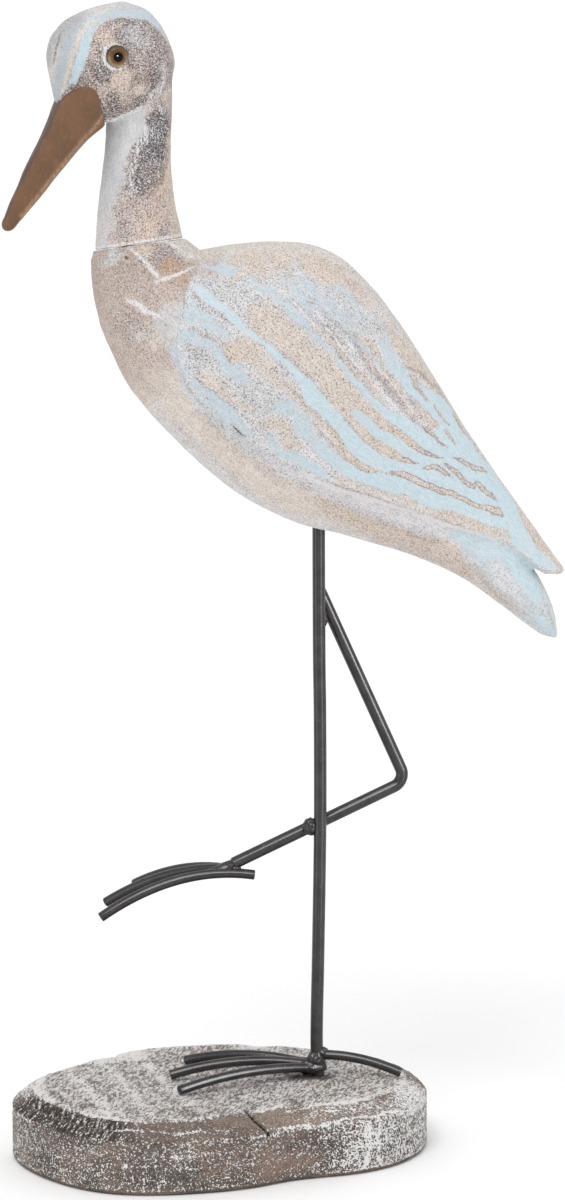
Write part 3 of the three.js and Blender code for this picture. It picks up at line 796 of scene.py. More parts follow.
# Painted bands of the body, each by its stations: (along, low, high)
MAIN_BAND = band([(-14.5, 22.3, 23.5), (-12, 21.3, 25), (-8, 21.3, 25.4), (0, 21.8, 25.2), (8, 21.5, 25.3),
                  (13, 20.8, 23.6), (20, 21.4, 23.6), (26, 20.4, 24), (32, 20.3, 22.8), (40, 19.5, 22.8),
                  (45, 17, 22.4), (50, 14.5, 21.6), (56, 13.3, 20.3), (62, 12.6, 19.2), (70, 11.2, 17.2),
                  (78, 8.6, 15.6), (86, 7.6, 14.7), (93, 8.6, 14.6), (100, 10.6, 16.8), (106, 12.8, 19.6),
                  (112, 15, 22.5)])
BLUE_BANDS = {
    "second": [(22, 37, 40), (30, 37, 39.6), (38, 35.6, 38.4), (46, 35.2, 37.8), (52, 34.6, 37.2),
               (58, 33.2, 36), (63, 31.4, 34.4), (70, 30.4, 33), (76, 29.4, 33), (82, 28.6, 32),
               (88, 28.4, 33.4), (96, 28.6, 34), (104, 28, 34.6), (112, 30.6, 34.4)],
    "third": [(71, 21, 24), (76, 20.4, 25), (84, 19.6, 24), (92, 19.4, 24.6), (100, 20.4, 24.8),
              (108, 22, 26.4), (114, 24.5, 29)],
    "fourth": [(62, 56, 58), (65, 51, 57), (68, 47.5, 56), (72, 46, 52.5), (78, 44.2, 50.5),
               (84, 43, 48.6), (90, 42.6, 48), (96, 42, 50), (104, 41, 50), (112, 38, 48)],
    "crown": [(19, 51.5, 55.5), (26, 50.5, 55.2), (34, 50.5, 54.5), (42, 49.5, 52.5), (50, 49.3, 52),
              (56, 49.6, 51.5)],
    "shoulder": [(12, 46.5, 49.5), (17, 46, 49.8), (22, 44, 49), (27, 43, 48.5), (31, 44, 47)],
    "streak": [(26, 46, 48.6), (32, 46.8, 49.6), (39, 48, 50.4), (48, 47.4, 49.4), (58, 46.2, 47.9),
               (66, 44.9, 46.2), (72, 43.6, 44.3)],
    "shoulder_low": [(4, 39, 41), (10, 39, 43), (16, 38.5, 43), (22, 38.5, 41.5), (28, 38.4, 40.2)],
    "front_top": [(-16, 31.5, 34), (-12, 33, 37), (-8, 35, 39), (-3, 38, 41)],
    "front_blob": [(-13, 12, 18.5), (-10, 9.6, 19.6), (-6, 10, 19.8), (-2, 12, 19), (4, 14.5, 18.5),
                   (9, 15.5, 18)],
    "front_low": [(-9, 2, 6.5), (-6, 0.5, 7.8), (-2, 2.5, 7.8), (2, 5.5, 9.6), (8, 5, 9.6), (12, 4, 9),
                  (16, 3, 7.5), (20, 3, 7.6), (24, 2.6, 9), (28, 3, 8.6), (31, 4.5, 7)],
    "low_one": [(40, 2.6, 9.6), (44, 2.4, 10.2), (48, 4, 9.8), (50, 6, 8.5)],
    "low_two": [(50.5, 1, 9), (54, 0, 9.8), (58, 0.4, 9.6), (62, 2, 7)],
    "low_three": [(64, 2, 5.4), (70, -1, 5.5), (76, -1.6, 4), (84, -1.4, 4), (90, -1, 5), (95, 0, 7),
                  (100, 2, 10), (106, 5, 12.5), (112, 7.5, 13.8), (120, 9, 16)],
    "edge_front": [(8, -10.5, -7.5), (16, -12, -7.8), (24, -12.8, -7.8), (33, -13, -8), (40, -13, -9.5),
                   (46, -13, -10.5)],
    "edge_back": [(48, -9.5, -7), (52, -11, -6.2), (58, -11, -6), (64, -10.5, -5), (70, -9.5, -4.2),
                  (76, -8.5, -4.5), (80, -7, -5.5)],
    "wing_end": [(103, 11, 13), (107, 6.8, 46), (112, 8, 46), (118, 8.2, 43.5), (125, 9, 42.5),
                 (132, 12.6, 40.6), (140, 15.6, 38.6), (150, 18.4, 35.6), (155, 20, 33.6),
                 (160, 21.4, 31), (164, 20, 28.8), (166, 13, 27.8), (170, 13, 26.3), (176, 12, 23.2),
                 (184, 12, 22.6), (191, 12, 21.4)],
}
SLIVERS = {
    "long": [(100.5, 11, 12), (105, 12.6, 15.6), (112, 14, 17), (120, 16, 18.6), (128, 17.6, 20.4),
             (136, 19.6, 22), (143, 21.4, 23.6), (150, 23, 25.8), (152, 23.6, 27), (157, 25.1, 25.4)],
    "hooked": [(110.5, 20.4, 21), (113, 21.4, 25), (116, 23.6, 26.6), (120, 23.6, 26), (126, 24.6, 24.9)],
    "upper": [(117, 28.6, 29), (121, 27, 28.4), (127, 26.4, 28.8), (133, 26.4, 28.8), (136.5, 27.2, 28.4)],
    "upper_end": [(134.5, 29.4, 30.2), (139, 28.6, 31), (145, 28.8, 30.6), (150, 28.5, 28.7)],
    "high": [(119.5, 31.6, 32), (125, 32, 33.8), (131, 33, 35), (135, 34.2, 36.2), (138, 35.6, 35.9)],
    "thin": [(103, 34.4, 36.2), (110, 34.2, 35.6), (116, 34.3, 34.6)],
    "pink": [(103, 25.2, 27.6), (110, 26.6, 28.8), (116.5, 30, 30.4)],
    "pale": [(102, 18, 20.6), (108.5, 21.4, 21.7)],
    "dash_one": [(84, 47.4, 48.8), (90, 45.8, 47.2), (96, 44.4, 45.2)],
    "dash_two": [(92, 41, 42.4), (98, 40.2, 41.6), (105, 39.2, 40.2)],
    "dash_three": [(100, 44.8, 46), (106, 43, 44.2), (111, 41.6, 42.4)],
    "dash_four": [(109, 39.6, 40.6), (114, 38, 39.3), (119, 36.8, 37.6)],
}
TAIL_BLUES = [
    [(139, 6, 8), (146, 5, 10.5), (154, 4.6, 13.5), (162, 5.5, 15)],
    [(158, 12, 15), (164, 9.6, 17), (172, 8.4, 18), (180, 6, 17), (186, 4, 14.5), (190, 2.6, 11.5),
     (193, 3.5, 9)],
    [(194, -2.5, 2.5), (199, -3.4, 1.8), (204, -3, 0.6), (207.5, -3, -0.5)],
]
BLUE_HOOK = stroke([(33, 59.3), (40, 59.8), (45, 58), (48, 55), (49.5, 51.5)], 2.6)
TAN_BANDS = {
    "middle": [(10, 26, 34), (14, 24.5, 37), (30, 23.5, 37), (46, 22.6, 35), (58, 20.6, 33),
               (70, 17.6, 30.4), (76, 16.6, 29.4), (84, 15, 28.6), (92, 14.6, 28.5), (104, 18, 28),
               (108, 21, 27)],
    "front": [(11, 9, 20), (16, 7.5, 20.5), (20, 8, 21), (24, 12, 20.5), (28, 14, 20), (32, 14, 19.5),
              (36, 13, 15)],
    "under_main": [(28, 10, 15), (38, 10.5, 14.5), (44, 9.5, 15.5), (50, 9.5, 14), (58, 9, 13),
                   (66, 7.5, 12), (72, 6, 11), (78, 4.4, 9), (90, 5, 8.6), (99, 10, 10.6)],
    "low_front": [(8, -6.5, -1.5), (14, -7, -1), (20, -6.8, -1.5), (26, -6.5, -2), (33, -5, -3)],
    "low_middle": [(41.5, -4, 1), (44, -5, 2), (48, -4.5, 2), (51, -3.5, 1.5), (56, -6, -1.5),
                   (62, -4, -1.5)],
    "upper": [(36, 38, 41), (44, 38.5, 41.5), (50, 37.5, 41), (58, 36.2, 39.6), (66, 34.2, 38),
              (74, 33.5, 35.6), (82, 31.6, 32.6)],
    "top": [(14, 56.5, 61), (20, 56.3, 66), (28, 57, 68), (34, 60.5, 68.5), (42, 60.5, 67.5),
            (50, 61, 65.5), (56, 60, 64)],
    "top_back": [(60, 56.5, 61.5), (66, 56.5, 60.5), (72, 53, 60), (80, 51.5, 58), (88, 50.5, 55.5),
                 (98, 49.5, 53.5), (108, 46, 50.5), (118, 42.5, 46)],
    "tip": [(150, 32.5, 35.5), (160, 29.5, 33), (165, 27, 31), (172, 24, 29.5), (180, 23.2, 27),
            (190, 22.6, 25.2), (193, 22, 24)],
}
# Washes of ground colour: shape, colour, softness, amount, speck, fleck and grit
FRONT_AND_BELLY = [
    (band([(10, -29, -27), (30, -31, -28.5), (60, -33, -31)]), MAUVE, 2.5, 0.2, 0.7),
    (band([(84, -19, -15), (92, -20, -13), (105, -19, -9.5), (120, -16, -5.5), (135, -13, 0.5),
           (148, -9, 3.4), (156, -7, 3), (161, -5, 1)]), PEACH, 6, 0.75, 0.42, 0.25, 0.6),
    (band([(4, -13, -9), (14, -16, -12), (40, -18.5, -13), (60, -18.5, -12), (80, -15.5, -9),
           (100, -10.5, -3), (115, -6.5, 1), (130, -2, 6), (140, 3, 10), (150, 4.6, 13)]),
     WHITEWASH, 3, 0.9, 0.25, 0.5, 0.35),
    (band([(20, -20, -16), (50, -22.5, -16.5), (70, -21, -15.5), (85, -16.5, -12), (100, -12, -8),
           (115, -9, -4), (125, -6, -1), (138, -1, 3)]), MAUVE, 3, 0.2, 0.82, 0.55, 1.0),
    (spot((-24, -6), (8, 6), 20), MAUVE, 5, 0.5, 0.6, 0.45, 0.9),
    (spot((-16, -4), (5, 4), 20), BEIGE, 5, 0.5, None, 0.3),
    (spot((-32, 9), (9, 5)), MAUVE, 6, 0.25, 0.4),
    (spot((-33, 25.5), (5, 8), -25), MAUVE, 4, 0.8, 0.58, 0.32, 1.0),
    (spot((-39.5, 22.5), (3.4, 3)), PEACH, 3, 0.8, 0.25),
    (spot((-21.5, 27), (8.6, 5), 34), ORANGE, 4, 0.95, 0.34, 0.08, 0.5),
    (spot((-17, 27), (4, 8), -25), BROWN, 4, 0.45, 0.35, 0.2),
    (spot((-25, 31), (6, 3), -20), MAUVE, 3, 0.85, 0.5, 0.35, 0.7),
    (spot((-24, 35.2), (7, 2.8), 2), MAUVE, 2, 0.8, 0.5, 0.3, 0.5),
    (spot((-48, 12), (2.6, 5), -30), GREY_WHITE, 3, 0.7, None, 0.5),
    (band([(-21, 4, 9), (-18, 2, 14), (-13, -2, 16), (-8, -5, 8), (0, -8, -3), (4, -9, -6)]),
     GREY_WHITE, 6, 0.75, 0.15, 0.3, 0.2),
]
WING_FIRST_COAT = [
    (band([(-15, 26, 40), (-6, 33, 50), (4, 44, 58), (14, 50, 62), (24, 57, 60)]),
     HAZE_BLUE, 7, 0.25, 0.25, 0.3, 0.35),
    (band([(-8, 38, 48), (2, 46, 55), (14, 54, 65)]), TAN, 5, 0.8, 0.25),
    (band([(-10, 31, 37), (0, 38, 47), (16, 48, 54)]), TAN, 5, 0.55, 0.3),
    (spot((-16, 35), (6, 7)), BREAST, 5, 0.75, 0.3, 0.1),
    (band([(-6, -6, 1), (0, -9, -2), (8, -9, -5)]), LAVENDER, 3, 0.7, 0.1, None, 0.2),
    (band([(20, 40.5, 49), (40, 40.5, 49.5), (62, 38, 47), (72, 35.5, 38)]), MAUVE, 3, 0.1, 0.4, 0.5, 0.7),
    (band([(-10, 26, 31), (0, 26, 36), (10, 28, 37), (16, 26, 36)]), MAUVE, 4, 0.1, 0.3),
    (band([(0, 0, 5), (9, 0, 4)]), MAUVE, 2, 0.2, 0.5),
    (band([(28, -3, 9), (40, -9, 3), (46, -10, -4)]), MAUVE, 4, 0.1, 0.6, 0.45),
]
WING_TINTS = [
    (spot((16, 13), (7, 5)), PEACH, 4, 0.65),
    (band([(-4, 7.6, 9.4), (4, 10, 12), (10, 11, 13)]), BROWN, 1.6, 0.4, 0.3),
    (band([(14, 58, 62), (24, 59, 65), (34, 62, 67), (44, 62, 66)]), PEACH, 5, 0.5),
    (band([(50, 48.5, 52), (54, 46.5, 51.5), (60, 44.5, 50.5), (64, 41, 50), (70, 40, 46.5), (78, 37.5, 43.5),
           (86, 36.4, 41), (94, 35.4, 38.6), (104, 34.6, 36.4), (114, 34.4, 35.2)]),
     PEACH, 2.5, 0.6, 0.42, 0.35, 0.65),
    (band([(84, -7, -3), (92, -4, 1), (100, -1, 5.5), (106, 2, 6.5), (114, 3.5, 7.5), (122, 4.8, 8.4),
           (130, 7.6, 12), (138, 9.6, 15.2), (146, 11.8, 17.2), (154, 14.6, 19.8), (160, 16.8, 21),
           (164, 18.4, 19.6)]), BEIGE, 2, 0.9, 0.36, 0.25, 0.45),
    (band([(128, 7, 10), (140, 11.5, 15.5), (152, 15.4, 18.8), (160, 18, 20)]), PEACH, 2, 0.5),
]
TAIL_WASHES = [
    (band([(150, 2, 14), (160, 0, 16), (176, -2, 16), (190, -6, 14), (208, -6, 8)]),
     HAZE_BLUE, 5, 0.9, 0.15, 0.25, 0.3),
    (spot((174, 4), (9, 3.4), -18), WHITEWASH, 4, 0.9, 0.24, 0.5, 0.4),
    (band([(156, -5, 1.5), (170, -6, 1), (190, -6, -2)]), PEACH, 3, 0.4, 0.5, 0.35, 0.7),
]
# Thin dark marks between the wing's bands: points and width
DARK_MARKS = [
    ([(24, 44.5), (32, 43), (40, 43.6), (50, 43)], 1.0),
    ([(36, 46.5), (44, 46), (50, 47.4), (58, 44.6), (63, 42)], 1.4),
    ([(52, 48.6), (58, 46.4), (64, 45.4)], 1.0),
    ([(28, 48.8), (40, 48.4), (50, 47), (58, 44.8)], 0.8),
    ([(30, 42), (42, 42.2), (54, 39.8), (66, 36.6)], 0.7),
    ([(68, 42.4), (78, 40.2), (90, 37.4)], 0.8),
    ([(64, 41), (72, 39.4), (80, 37.2), (90, 35.2), (104, 34.4)], 1.1),
    ([(70, 40.6), (80, 38.6), (88, 37.2)], 1.0),
    ([(50, 38.4), (58, 36.4), (64, 34.6)], 0.9),
    ([(66, 35), (74, 32.6), (82, 30.8)], 0.9),
    ([(88, 41.4), (94, 39.4), (100, 37.6)], 0.9),
    ([(20, 24.2), (30, 24), (44, 23.2), (52, 21.6), (60, 20.2)], 0.8),
    ([(66, 17.9), (75, 16.4), (84, 14.9), (92, 14.8)], 0.8),
    ([(40, 13.6), (50, 13.4), (58, 12.2), (66, 11.4), (74, 10.2)], 0.9),
    ([(60, 8.6), (66, 6.6), (74, 5.6), (80, 4.4), (86, 4.6), (92, 5.8)], 0.9),
    ([(-2, 8.4), (4, 9), (14, 8), (18, 7)], 0.9),
    ([(8, -7), (18, -7.4), (28, -7.2)], 1.0),
    ([(80, 51), (88, 52.4), (96, 51)], 1.2),
    ([(84, 47), (90, 46)], 0.9),
    ([(84, -7.6), (95, -3.6), (106, 0), (118, 3), (130, 7), (142, 11)], 0.9),
    ([(96, 52.6), (108, 48.4), (120, 43.4), (130, 40.4)], 1.0),
    ([(148, 35.6), (158, 32.4)], 0.9),
    ([(160, 1), (172, -3), (184, -3.6)], 1.6),
    ([(166, 20), (160, 21.6), (154, 20.6)], 0.6),
]
# Dry white strokes, the one along the wing's lower edge a painted highlight: shape, softness and amount, by
# how much the brush wandered
STEADY_WHITES = [
    (stroke([(-45, 19.6), (-36, 19), (-28.5, 17.4)], (1.2, 2.4, 2.2)), 0.9),
    (stroke([(-27.8, 15), (-24, 20.5), (-19, 27.5), (-17, 31)], (1.2, 1.6, 1.1, 0.5)), 0.6),
    (stroke([(-34, 31.2), (-20, 32.6)], 1.3), 0.8, 0.8),
    (stroke([(-33, 2), (-28, 3), (-24, 3), (-18, 4.4)], (2.2, 3.2, 3.0, 2.2)), 1.4, 0.9),
    # Painted highlight: a white line where the wing's lower bevel catches light
    (stroke([(70, -11.8), (80, -10), (90, -7.4), (100, -3.6), (110, 0), (120, 3.4), (130, 6.2), (140, 9.2),
             (150, 12.6), (158, 15)], 2.4), 0.9),
    (stroke([(183, 22.7), (191, 21.8)], 0.9), 0.6, 0.9),
]
ROUGH_WHITES = [
    (stroke([(-19, 4), (-13, 7), (-9, 3)], 3.5), 2.2, 0.45),
    (stroke([(30, -33), (66, -33.4), (90, -28.5), (130, -13)], 1.6), 1.6, 0.5),
]
THIN_WHITES = [
    [(26, 43), (40, 43), (50, 41), (60, 39), (69, 37), (80, 35.2), (90, 34)],
    [(65, 45), (75, 42.4), (85, 39.4), (92, 38)],
    [(20, 41), (30, 41.4), (40, 41.2)],
    [(16, 46), (28, 46.4), (38, 45)],
    [(24, 50.4), (36, 50), (46, 48.4)],
    [(34, 46.8), (46, 45.6), (56, 43.2)],
    [(60, 47.6), (66, 44.4), (72, 42)],
]
# Single strokes and stretches: white at the tail, dark at the front, bare on the back
REAR_WHITE = stroke([(186, 12.6), (196, 8), (207, 0.6)], 2.6)
FRONT_RIM = stroke([(-13, 20.8), (-4, 20.8), (6, 20.4)], 0.9)
PALE_GAP = band([(48, 51, 57), (56, 51, 60), (63, 57, 60)])
# Thin dark lines: points, widths and how much of the line is left out
INK_LINES = [
    ([(-17, 20), (-14.5, 16), (-12.6, 12.6), (-10.8, 9.2)], (0.2, 0.5, 0.5, 0.1), 0.1),
    ([(33.5, -13.2), (36, -13.6), (40.5, -14.2)], (0.3, 0.8, 0.4), 0),
    ([(190, 8), (198, 4.4), (205, 1)], (0.3, 0.6, 0.3), 0.2),
    ([(191, 3.6), (196, 0)], (0.6, 0.2), 0.2),
]
# A small dark hole low on the breast
WORM_HOLE = spot((-43, 15.6), (0.9, 0.7))
# Along the body: where the paint's edges turn from wide to small, and where the tail is painted
TAPER_START = 45
TAPER_END = 95
TAIL_START = 148
# How much of the brush's wander the thin lines and the main blue band keep
CALM_SHARE = 0.35


def blue_paint(paint, calm_u, calm_v, front, on_wing, slivers):
    """The blue bands, their dark rims and how far the paint is worn through."""
    u, v = paint.along, paint.across
    main = MAIN_BAND(calm_u, calm_v)
    blue = np.maximum(either(BLUE_HOOK, *map(band, BLUE_BANDS.values()))(u, v), main)
    blue = np.minimum(np.minimum(blue, on_wing - 0.6), -slivers)
    tail_blue = either(*map(band, TAIL_BLUES))(u, v)
    paint.blue = np.maximum(blue, np.minimum(tail_blue, 0.4 - on_wing))
    rims = smoothstep(slivers, -3.5, -0.5) * smoothstep(u, 66, 90) * (1 - 0.75 * smoothstep(v, 34, 38))
    paint.rim = np.clip(0.15 + 0.7 * rims, 0, 1)
    main = smoothstep(main, -3, 0)
    worn = 0.05 + front * (0.28 + 0.12 * (1 - smoothstep(v, 14, 22))) * (1 - 0.7 * main)
    worn += 0.36 * smoothstep(v, 38, 46) * (1 - smoothstep(u, 60, 95))
    worn += 0.26 * smoothstep(0.5 - on_wing, -0.5, 0.5)
    paint.worn = np.clip(worn, 0.02, 1)
    paint.dull = 0.35 * front * (1 - 0.8 * main)


def body_paint(mesh, places, clean_u, clean_v):
    # The brush's uneven edges: wide and soft at the front, small where the wing tapers
    front = 1 - smoothstep(clean_u, TAPER_START, TAPER_END)
    u = clean_u + ragged(places, 8, 2.5, 71) + ragged(places, 6, 5, 73) * front
    v = clean_v + ragged(places, 7, 1.2, 75) + ragged(places, 5, 2.4, 77) * front
    calm_u = clean_u + CALM_SHARE * (u - clean_u)
    calm_v = clean_v + CALM_SHARE * (v - clean_v)
    wing_low = wing_edge_line(np.clip(clean_u, WING_START, WING_END))
    on_wing = np.minimum(clean_v - wing_low, clean_u - WING_START)
    belly = belly_line(np.clip(clean_u, BODY_START, BODY_END))
    back = back_line(np.clip(clean_u, BACK_START, WING_END))

    paint = Paint(mesh, u, v, BELLY)
    paint.wash(-2 - u, BREAST, 26, 1.0, 0.33, 0.24, 0.5)
    # Painted shade: darker towards the breast's front edge
    paint.wash(-34 - u + v * 0.3, BREAST_PAINTED_SHADE, 16, 0.8)
    paint.wash(np.minimum(belly + 5 - v, u - 8), WHITEWASH, 8, 0.7, 0.5, 0.5, 0.6)
    paint.lay(FRONT_AND_BELLY)
    # Wing: a grey-white first coat, then the tan stretches that were rubbed through it
    paint.wash(on_wing, WHITEWASH, 2, 0.85, 0.44, 0.4, 0.75)
    paint.wash(np.minimum(on_wing, 30 - np.abs(u - 10) * 0.8), GREY_WHITE, 10, 0.6, 0.5, 0.45)
    paint.lay(WING_FIRST_COAT)
    paint.lay((band(stations), TAN, 2.0 + 3.4 * front, 0.92 - 0.15 * front, 0.14, 0.24, 0.55)
              for stations in TAN_BANDS.values())
    paint.wash(FRONT_RIM(clean_u, clean_v), MAUVE, 1, 0.6)
    paint.lay(WING_TINTS)
    slivers = [band(stations)(u, v) for stations in SLIVERS.values()]
    for sliver in slivers:
        paint.wash(sliver + 1.2, SLIVER, 1.2, 0.95, 0.36, 0.34, 0.6)
    paint.wash(clean_v - back + 3, BEIGE, 4, 0.8, 0.3, 0.35)
    paint.wash(PALE_GAP(u, v), GREY_WHITE, 3, 0.75, 0.5, 0.4)
    for points, width in DARK_MARKS:
        paint.wash(stroke(points, width)(calm_u, calm_v), MAUVE_DARK, 1.2, 0.42, 0.5)
    tail = np.minimum(clean_u - TAIL_START, 0.5 - on_wing)
    for shape, *looks in TAIL_WASHES:
        paint.wash(np.minimum(tail, shape(u, v)), *looks)

    blue_paint(paint, calm_u, calm_v, front, on_wing, union(slivers))
    paint.brush_all(clean_u, clean_v, STEADY_WHITES)
    paint.brush_all(u, v, ROUGH_WHITES)
    paint.brush_all(calm_u, calm_v, [(stroke(points, 0.9), 0.6, 0.95) for points in THIN_WHITES])
    paint.brush(np.minimum(REAR_WHITE(clean_u, clean_v), 0.5 - on_wing), 1.0, 0.6)
    lines = [stroke(points, widths)(clean_u, clean_v) - sunk for points, widths, sunk in INK_LINES]
    paint.ink = union([*lines, WORM_HOLE(clean_u, clean_v)])
    paint.keep()


CREASE_STEPS = (0.5,) * 30


def wing_crease(u, v):
    """Where the gap under the wing closes to a soft crease, before the tip comes free."""
    from_edge = np.abs(v - 1 - wing_edge_line(np.clip(u, WING_START, WING_END)))
    return smoothstep(u, 153, 161) * (1 - smoothstep(u, 169, 175)) * (1 - smoothstep(from_edge, 3, 7))


def make_body():
    mesh = joined("body_carved", [body_core(), wing(-1), wing(1), neck_stub()], BODY_VOXEL)
    relax(mesh, STEP_FREE * 4)
    places = places_of(mesh)
    u, v, side = to_body_frame(places)
    relax(mesh, CREASE_STEPS, wing_crease(u, v))
    raise_by(mesh, body_relief(u, v, side, places))
    # The hidden side has the same strokes, a little out of step
    far = smoothstep(side, 0, 14)
    u = u + far * (3.5 * np.sin(v / 9) - 2)
    v = v + far * (1.6 * np.sin(u / 17) + 0.8)
    keep_vectors(mesh, "flow", (u, v, side))
    body_paint(mesh, places, u, v)
    return mesh


# Head lines in its own frame: the seam's middle is its origin
HEAD_BOTTOM = 52.0
HEAD_TOP = 102.3
HEAD_SQUARENESS = 2.2
CHIN_X = -20.0
NECK_LENGTH = 78.0
head_front_line = line([
    (52, -18), (53.5, -24), (56, -31), (60, -36), (66, -37.8), (75, -39.4), (81, -39.8), (87, -38.4),
    (91, -35.8), (95, -31.6), (98.5, -24.5), (100.8, -17), (102.3, -8),
])
head_back_line = line([
    (52, 13.4), (61, 14.4), (70, 15.2), (79, 14.8), (86, 13), (92, 10.2), (96, 6.8),
    (99.5, 2.4), (102.3, -6),
])
head_breadth_line = line([
    (52, 13.5), (56, 16.4), (63, 18.6), (71, 19.6), (79, 19.4), (87, 17.2), (93, 13.8),
    (98, 9.4), (102.3, 1.5),
])
face_taper_line = line([(52, 0.6), (66, 0.58), (78, 0.26), (102.3, 0.12)])
jaw_lean_line = line([(52, 0.36), (62, 0.3), (80, 0), (102.3, 0)])
neck_front_line = line([
    (0, -18.4), (13, -17.7), (23, -16.7), (33, -15.3), (43, -14.1), (52, -13.7), (78, -13.3),
])
neck_back_line = line([
    (0, 18.5), (7, 17.1), (14, 15.6), (22, 14.6), (32, 13.7), (44, 13.8), (60, 14.4), (78, 14.2),
])
neck_breadth_line = line([(0, 18.6), (12, 16.4), (28, 14), (45, 12.8), (60, 13.2), (78, 14.2)])

EYE_PLACE = np.array([-15.2, -18.8, 80.7])
EYE_TURN = math.radians(6)
EYE_RADIUS = 4.7
EYE_BULGE = 2.4
EYE_SINK = 1.0
EYE_DEPTH = 3.5


def neck(count=130, sides=110):
    angles = around(sides)
    rings = []
    for height in np.linspace(0, NECK_LENGTH, count):
        x, y = oval(neck_front_line(height), neck_back_line(height), neck_breadth_line(height), angles)
        forwards, sideways = turned_by(HEAD_TURN, x, y)
        z = height + (1 - height / NECK_LENGTH) * seam_rise(forwards, sideways)
        rings.append(np.stack([x, y, z], 1))
    return shell(rings)


def skull(count=110, sides=130):
    angles = around(sides)
    rings = []
    for height in eased(HEAD_BOTTOM, HEAD_TOP, count):
        x, y = oval(head_front_line(height), head_back_line(height), head_breadth_line(height), angles,
                    HEAD_SQUARENESS)
        y = y * (1 - face_taper_line(height) * np.maximum(-np.cos(angles), 0))
        z = height + jaw_lean_line(height) * np.maximum(x - CHIN_X, 0)
        rings.append(np.stack([x, y, z], 1))
    return shell(rings)


EYE_HOLLOW = spot((-23.5, 78), (4, 7), 12)
FOREHEAD_GROOVE = stroke([(-38.6, 77), (-37.6, 84), (-36.4, 88), (-34.8, 91)], 0.8)
JAW_EDGE = stroke([(-19, 52), (-14, 53.6), (-9, 55.8), (-4, 58.4)], (3.4, 3.0, 2.4, 2.0))
THROAT_RIDGE_STEP = 1.7


def head_relief(x, y, z, places):
    """Heights of the ring round the eye, the hollow by it, the groove, the throat's ridges and the jaw."""
    up = np.zeros(len(x))
    from_eye = np.hypot(x - EYE_PLACE[0], z - EYE_PLACE[2])
    side = smoothstep(np.abs(y), 8, 12)
    up += 0.55 * np.exp(-((from_eye - EYE_RADIUS - 0.9) / 0.8) ** 2) * side
    up -= 0.5 * smoothstep(EYE_HOLLOW(x, z), -1, 3) * side
    up -= 0.35 * smoothstep(FOREHEAD_GROOVE(x, z), -0.5, 0.3)
    throat = smoothstep(-10 - x, 0, 4) * smoothstep(z, 22, 10) * smoothstep(z, -2, 1)
    up += 0.12 * np.sin(z * 2 * np.pi / THROAT_RIDGE_STEP) * throat
    jaw = smoothstep(JAW_EDGE(x, z), -1.4, 0.6) * smoothstep(np.abs(y), 3, 7)
    up += (0.6 + 1.5 * smoothstep(x, -9, -14)) * jaw
    up += 0.35 * (rugged(places, 9, 21) - 0.5)
    up += 0.1 * (grain(places, 1.8, 25) - 0.5)
    return up


# Edges of the cap and of the throat's pale paint: (x, z) and (z, x)
CAP_EDGE = [(-40, 58), (-36, 62), (-34, 66.5), (-31, 70.5), (-29, 76), (-27, 84), (-24, 90), (-21, 93),
            (-17, 95.3), (-12, 96.4), (-5, 95.8), (1, 94.6), (6, 91), (11, 84)]
THROAT_EDGE = [(-2, -16), (10, -15), (22, -13.6), (27, -11.6), (33, -9.6), (40, -7.6), (45, -3.6), (50, -0.5),
               (56, -1.5)]
# How much of the brush's wander the crisp edges of the head keep
MILD_SHARE = 0.15
JAW_SLOPE = 0.48
FACE_SLOPE = 0.46
JAW_X = -16
NECK_WASHES = [
    (stroke([(-13, 6), (-9, 15), (-6, 23)], 4.4), MAUVE, 4, 0.45, 0.45, 0.4),
    (stroke([(-2, 4), (2, 14), (7, 26), (11, 36)], 6), NECK_TAN, 4, 0.9, 0.38, 0.25),
    (spot((-11, 12), (3, 11), 8), MAUVE, 4, 0.5, 0.5, 0.35, 0.85),
    (spot((8.5, 6.5), (5, 4.4), -30), MAUVE, 4, 0.7, 0.55, 0.35, 0.95),
    (spot((0, 18), (10, 5)), BROWN, 5, 0.4, 0.5),
    (band([(-12.5, 24, 30), (-11, 23, 35), (-8.5, 22, 42), (-6, 22, 46), (-3, 22, 50), (0, 22, 58),
           (4, 24, 60), (9, 30, 64), (12, 42, 66)]), NAPE_BROWN, 8, 0.85, 0.55, 0.45, 1.0),
]
NAPE_SPOTS = either(spot((4.5, 50.5), (6, 7.5), 10), spot((2.5, 41), (5.5, 6), 30),
                    spot((-5, 27), (2.4, 4), 10), spot((-2.5, 37), (2.4, 3), 10))
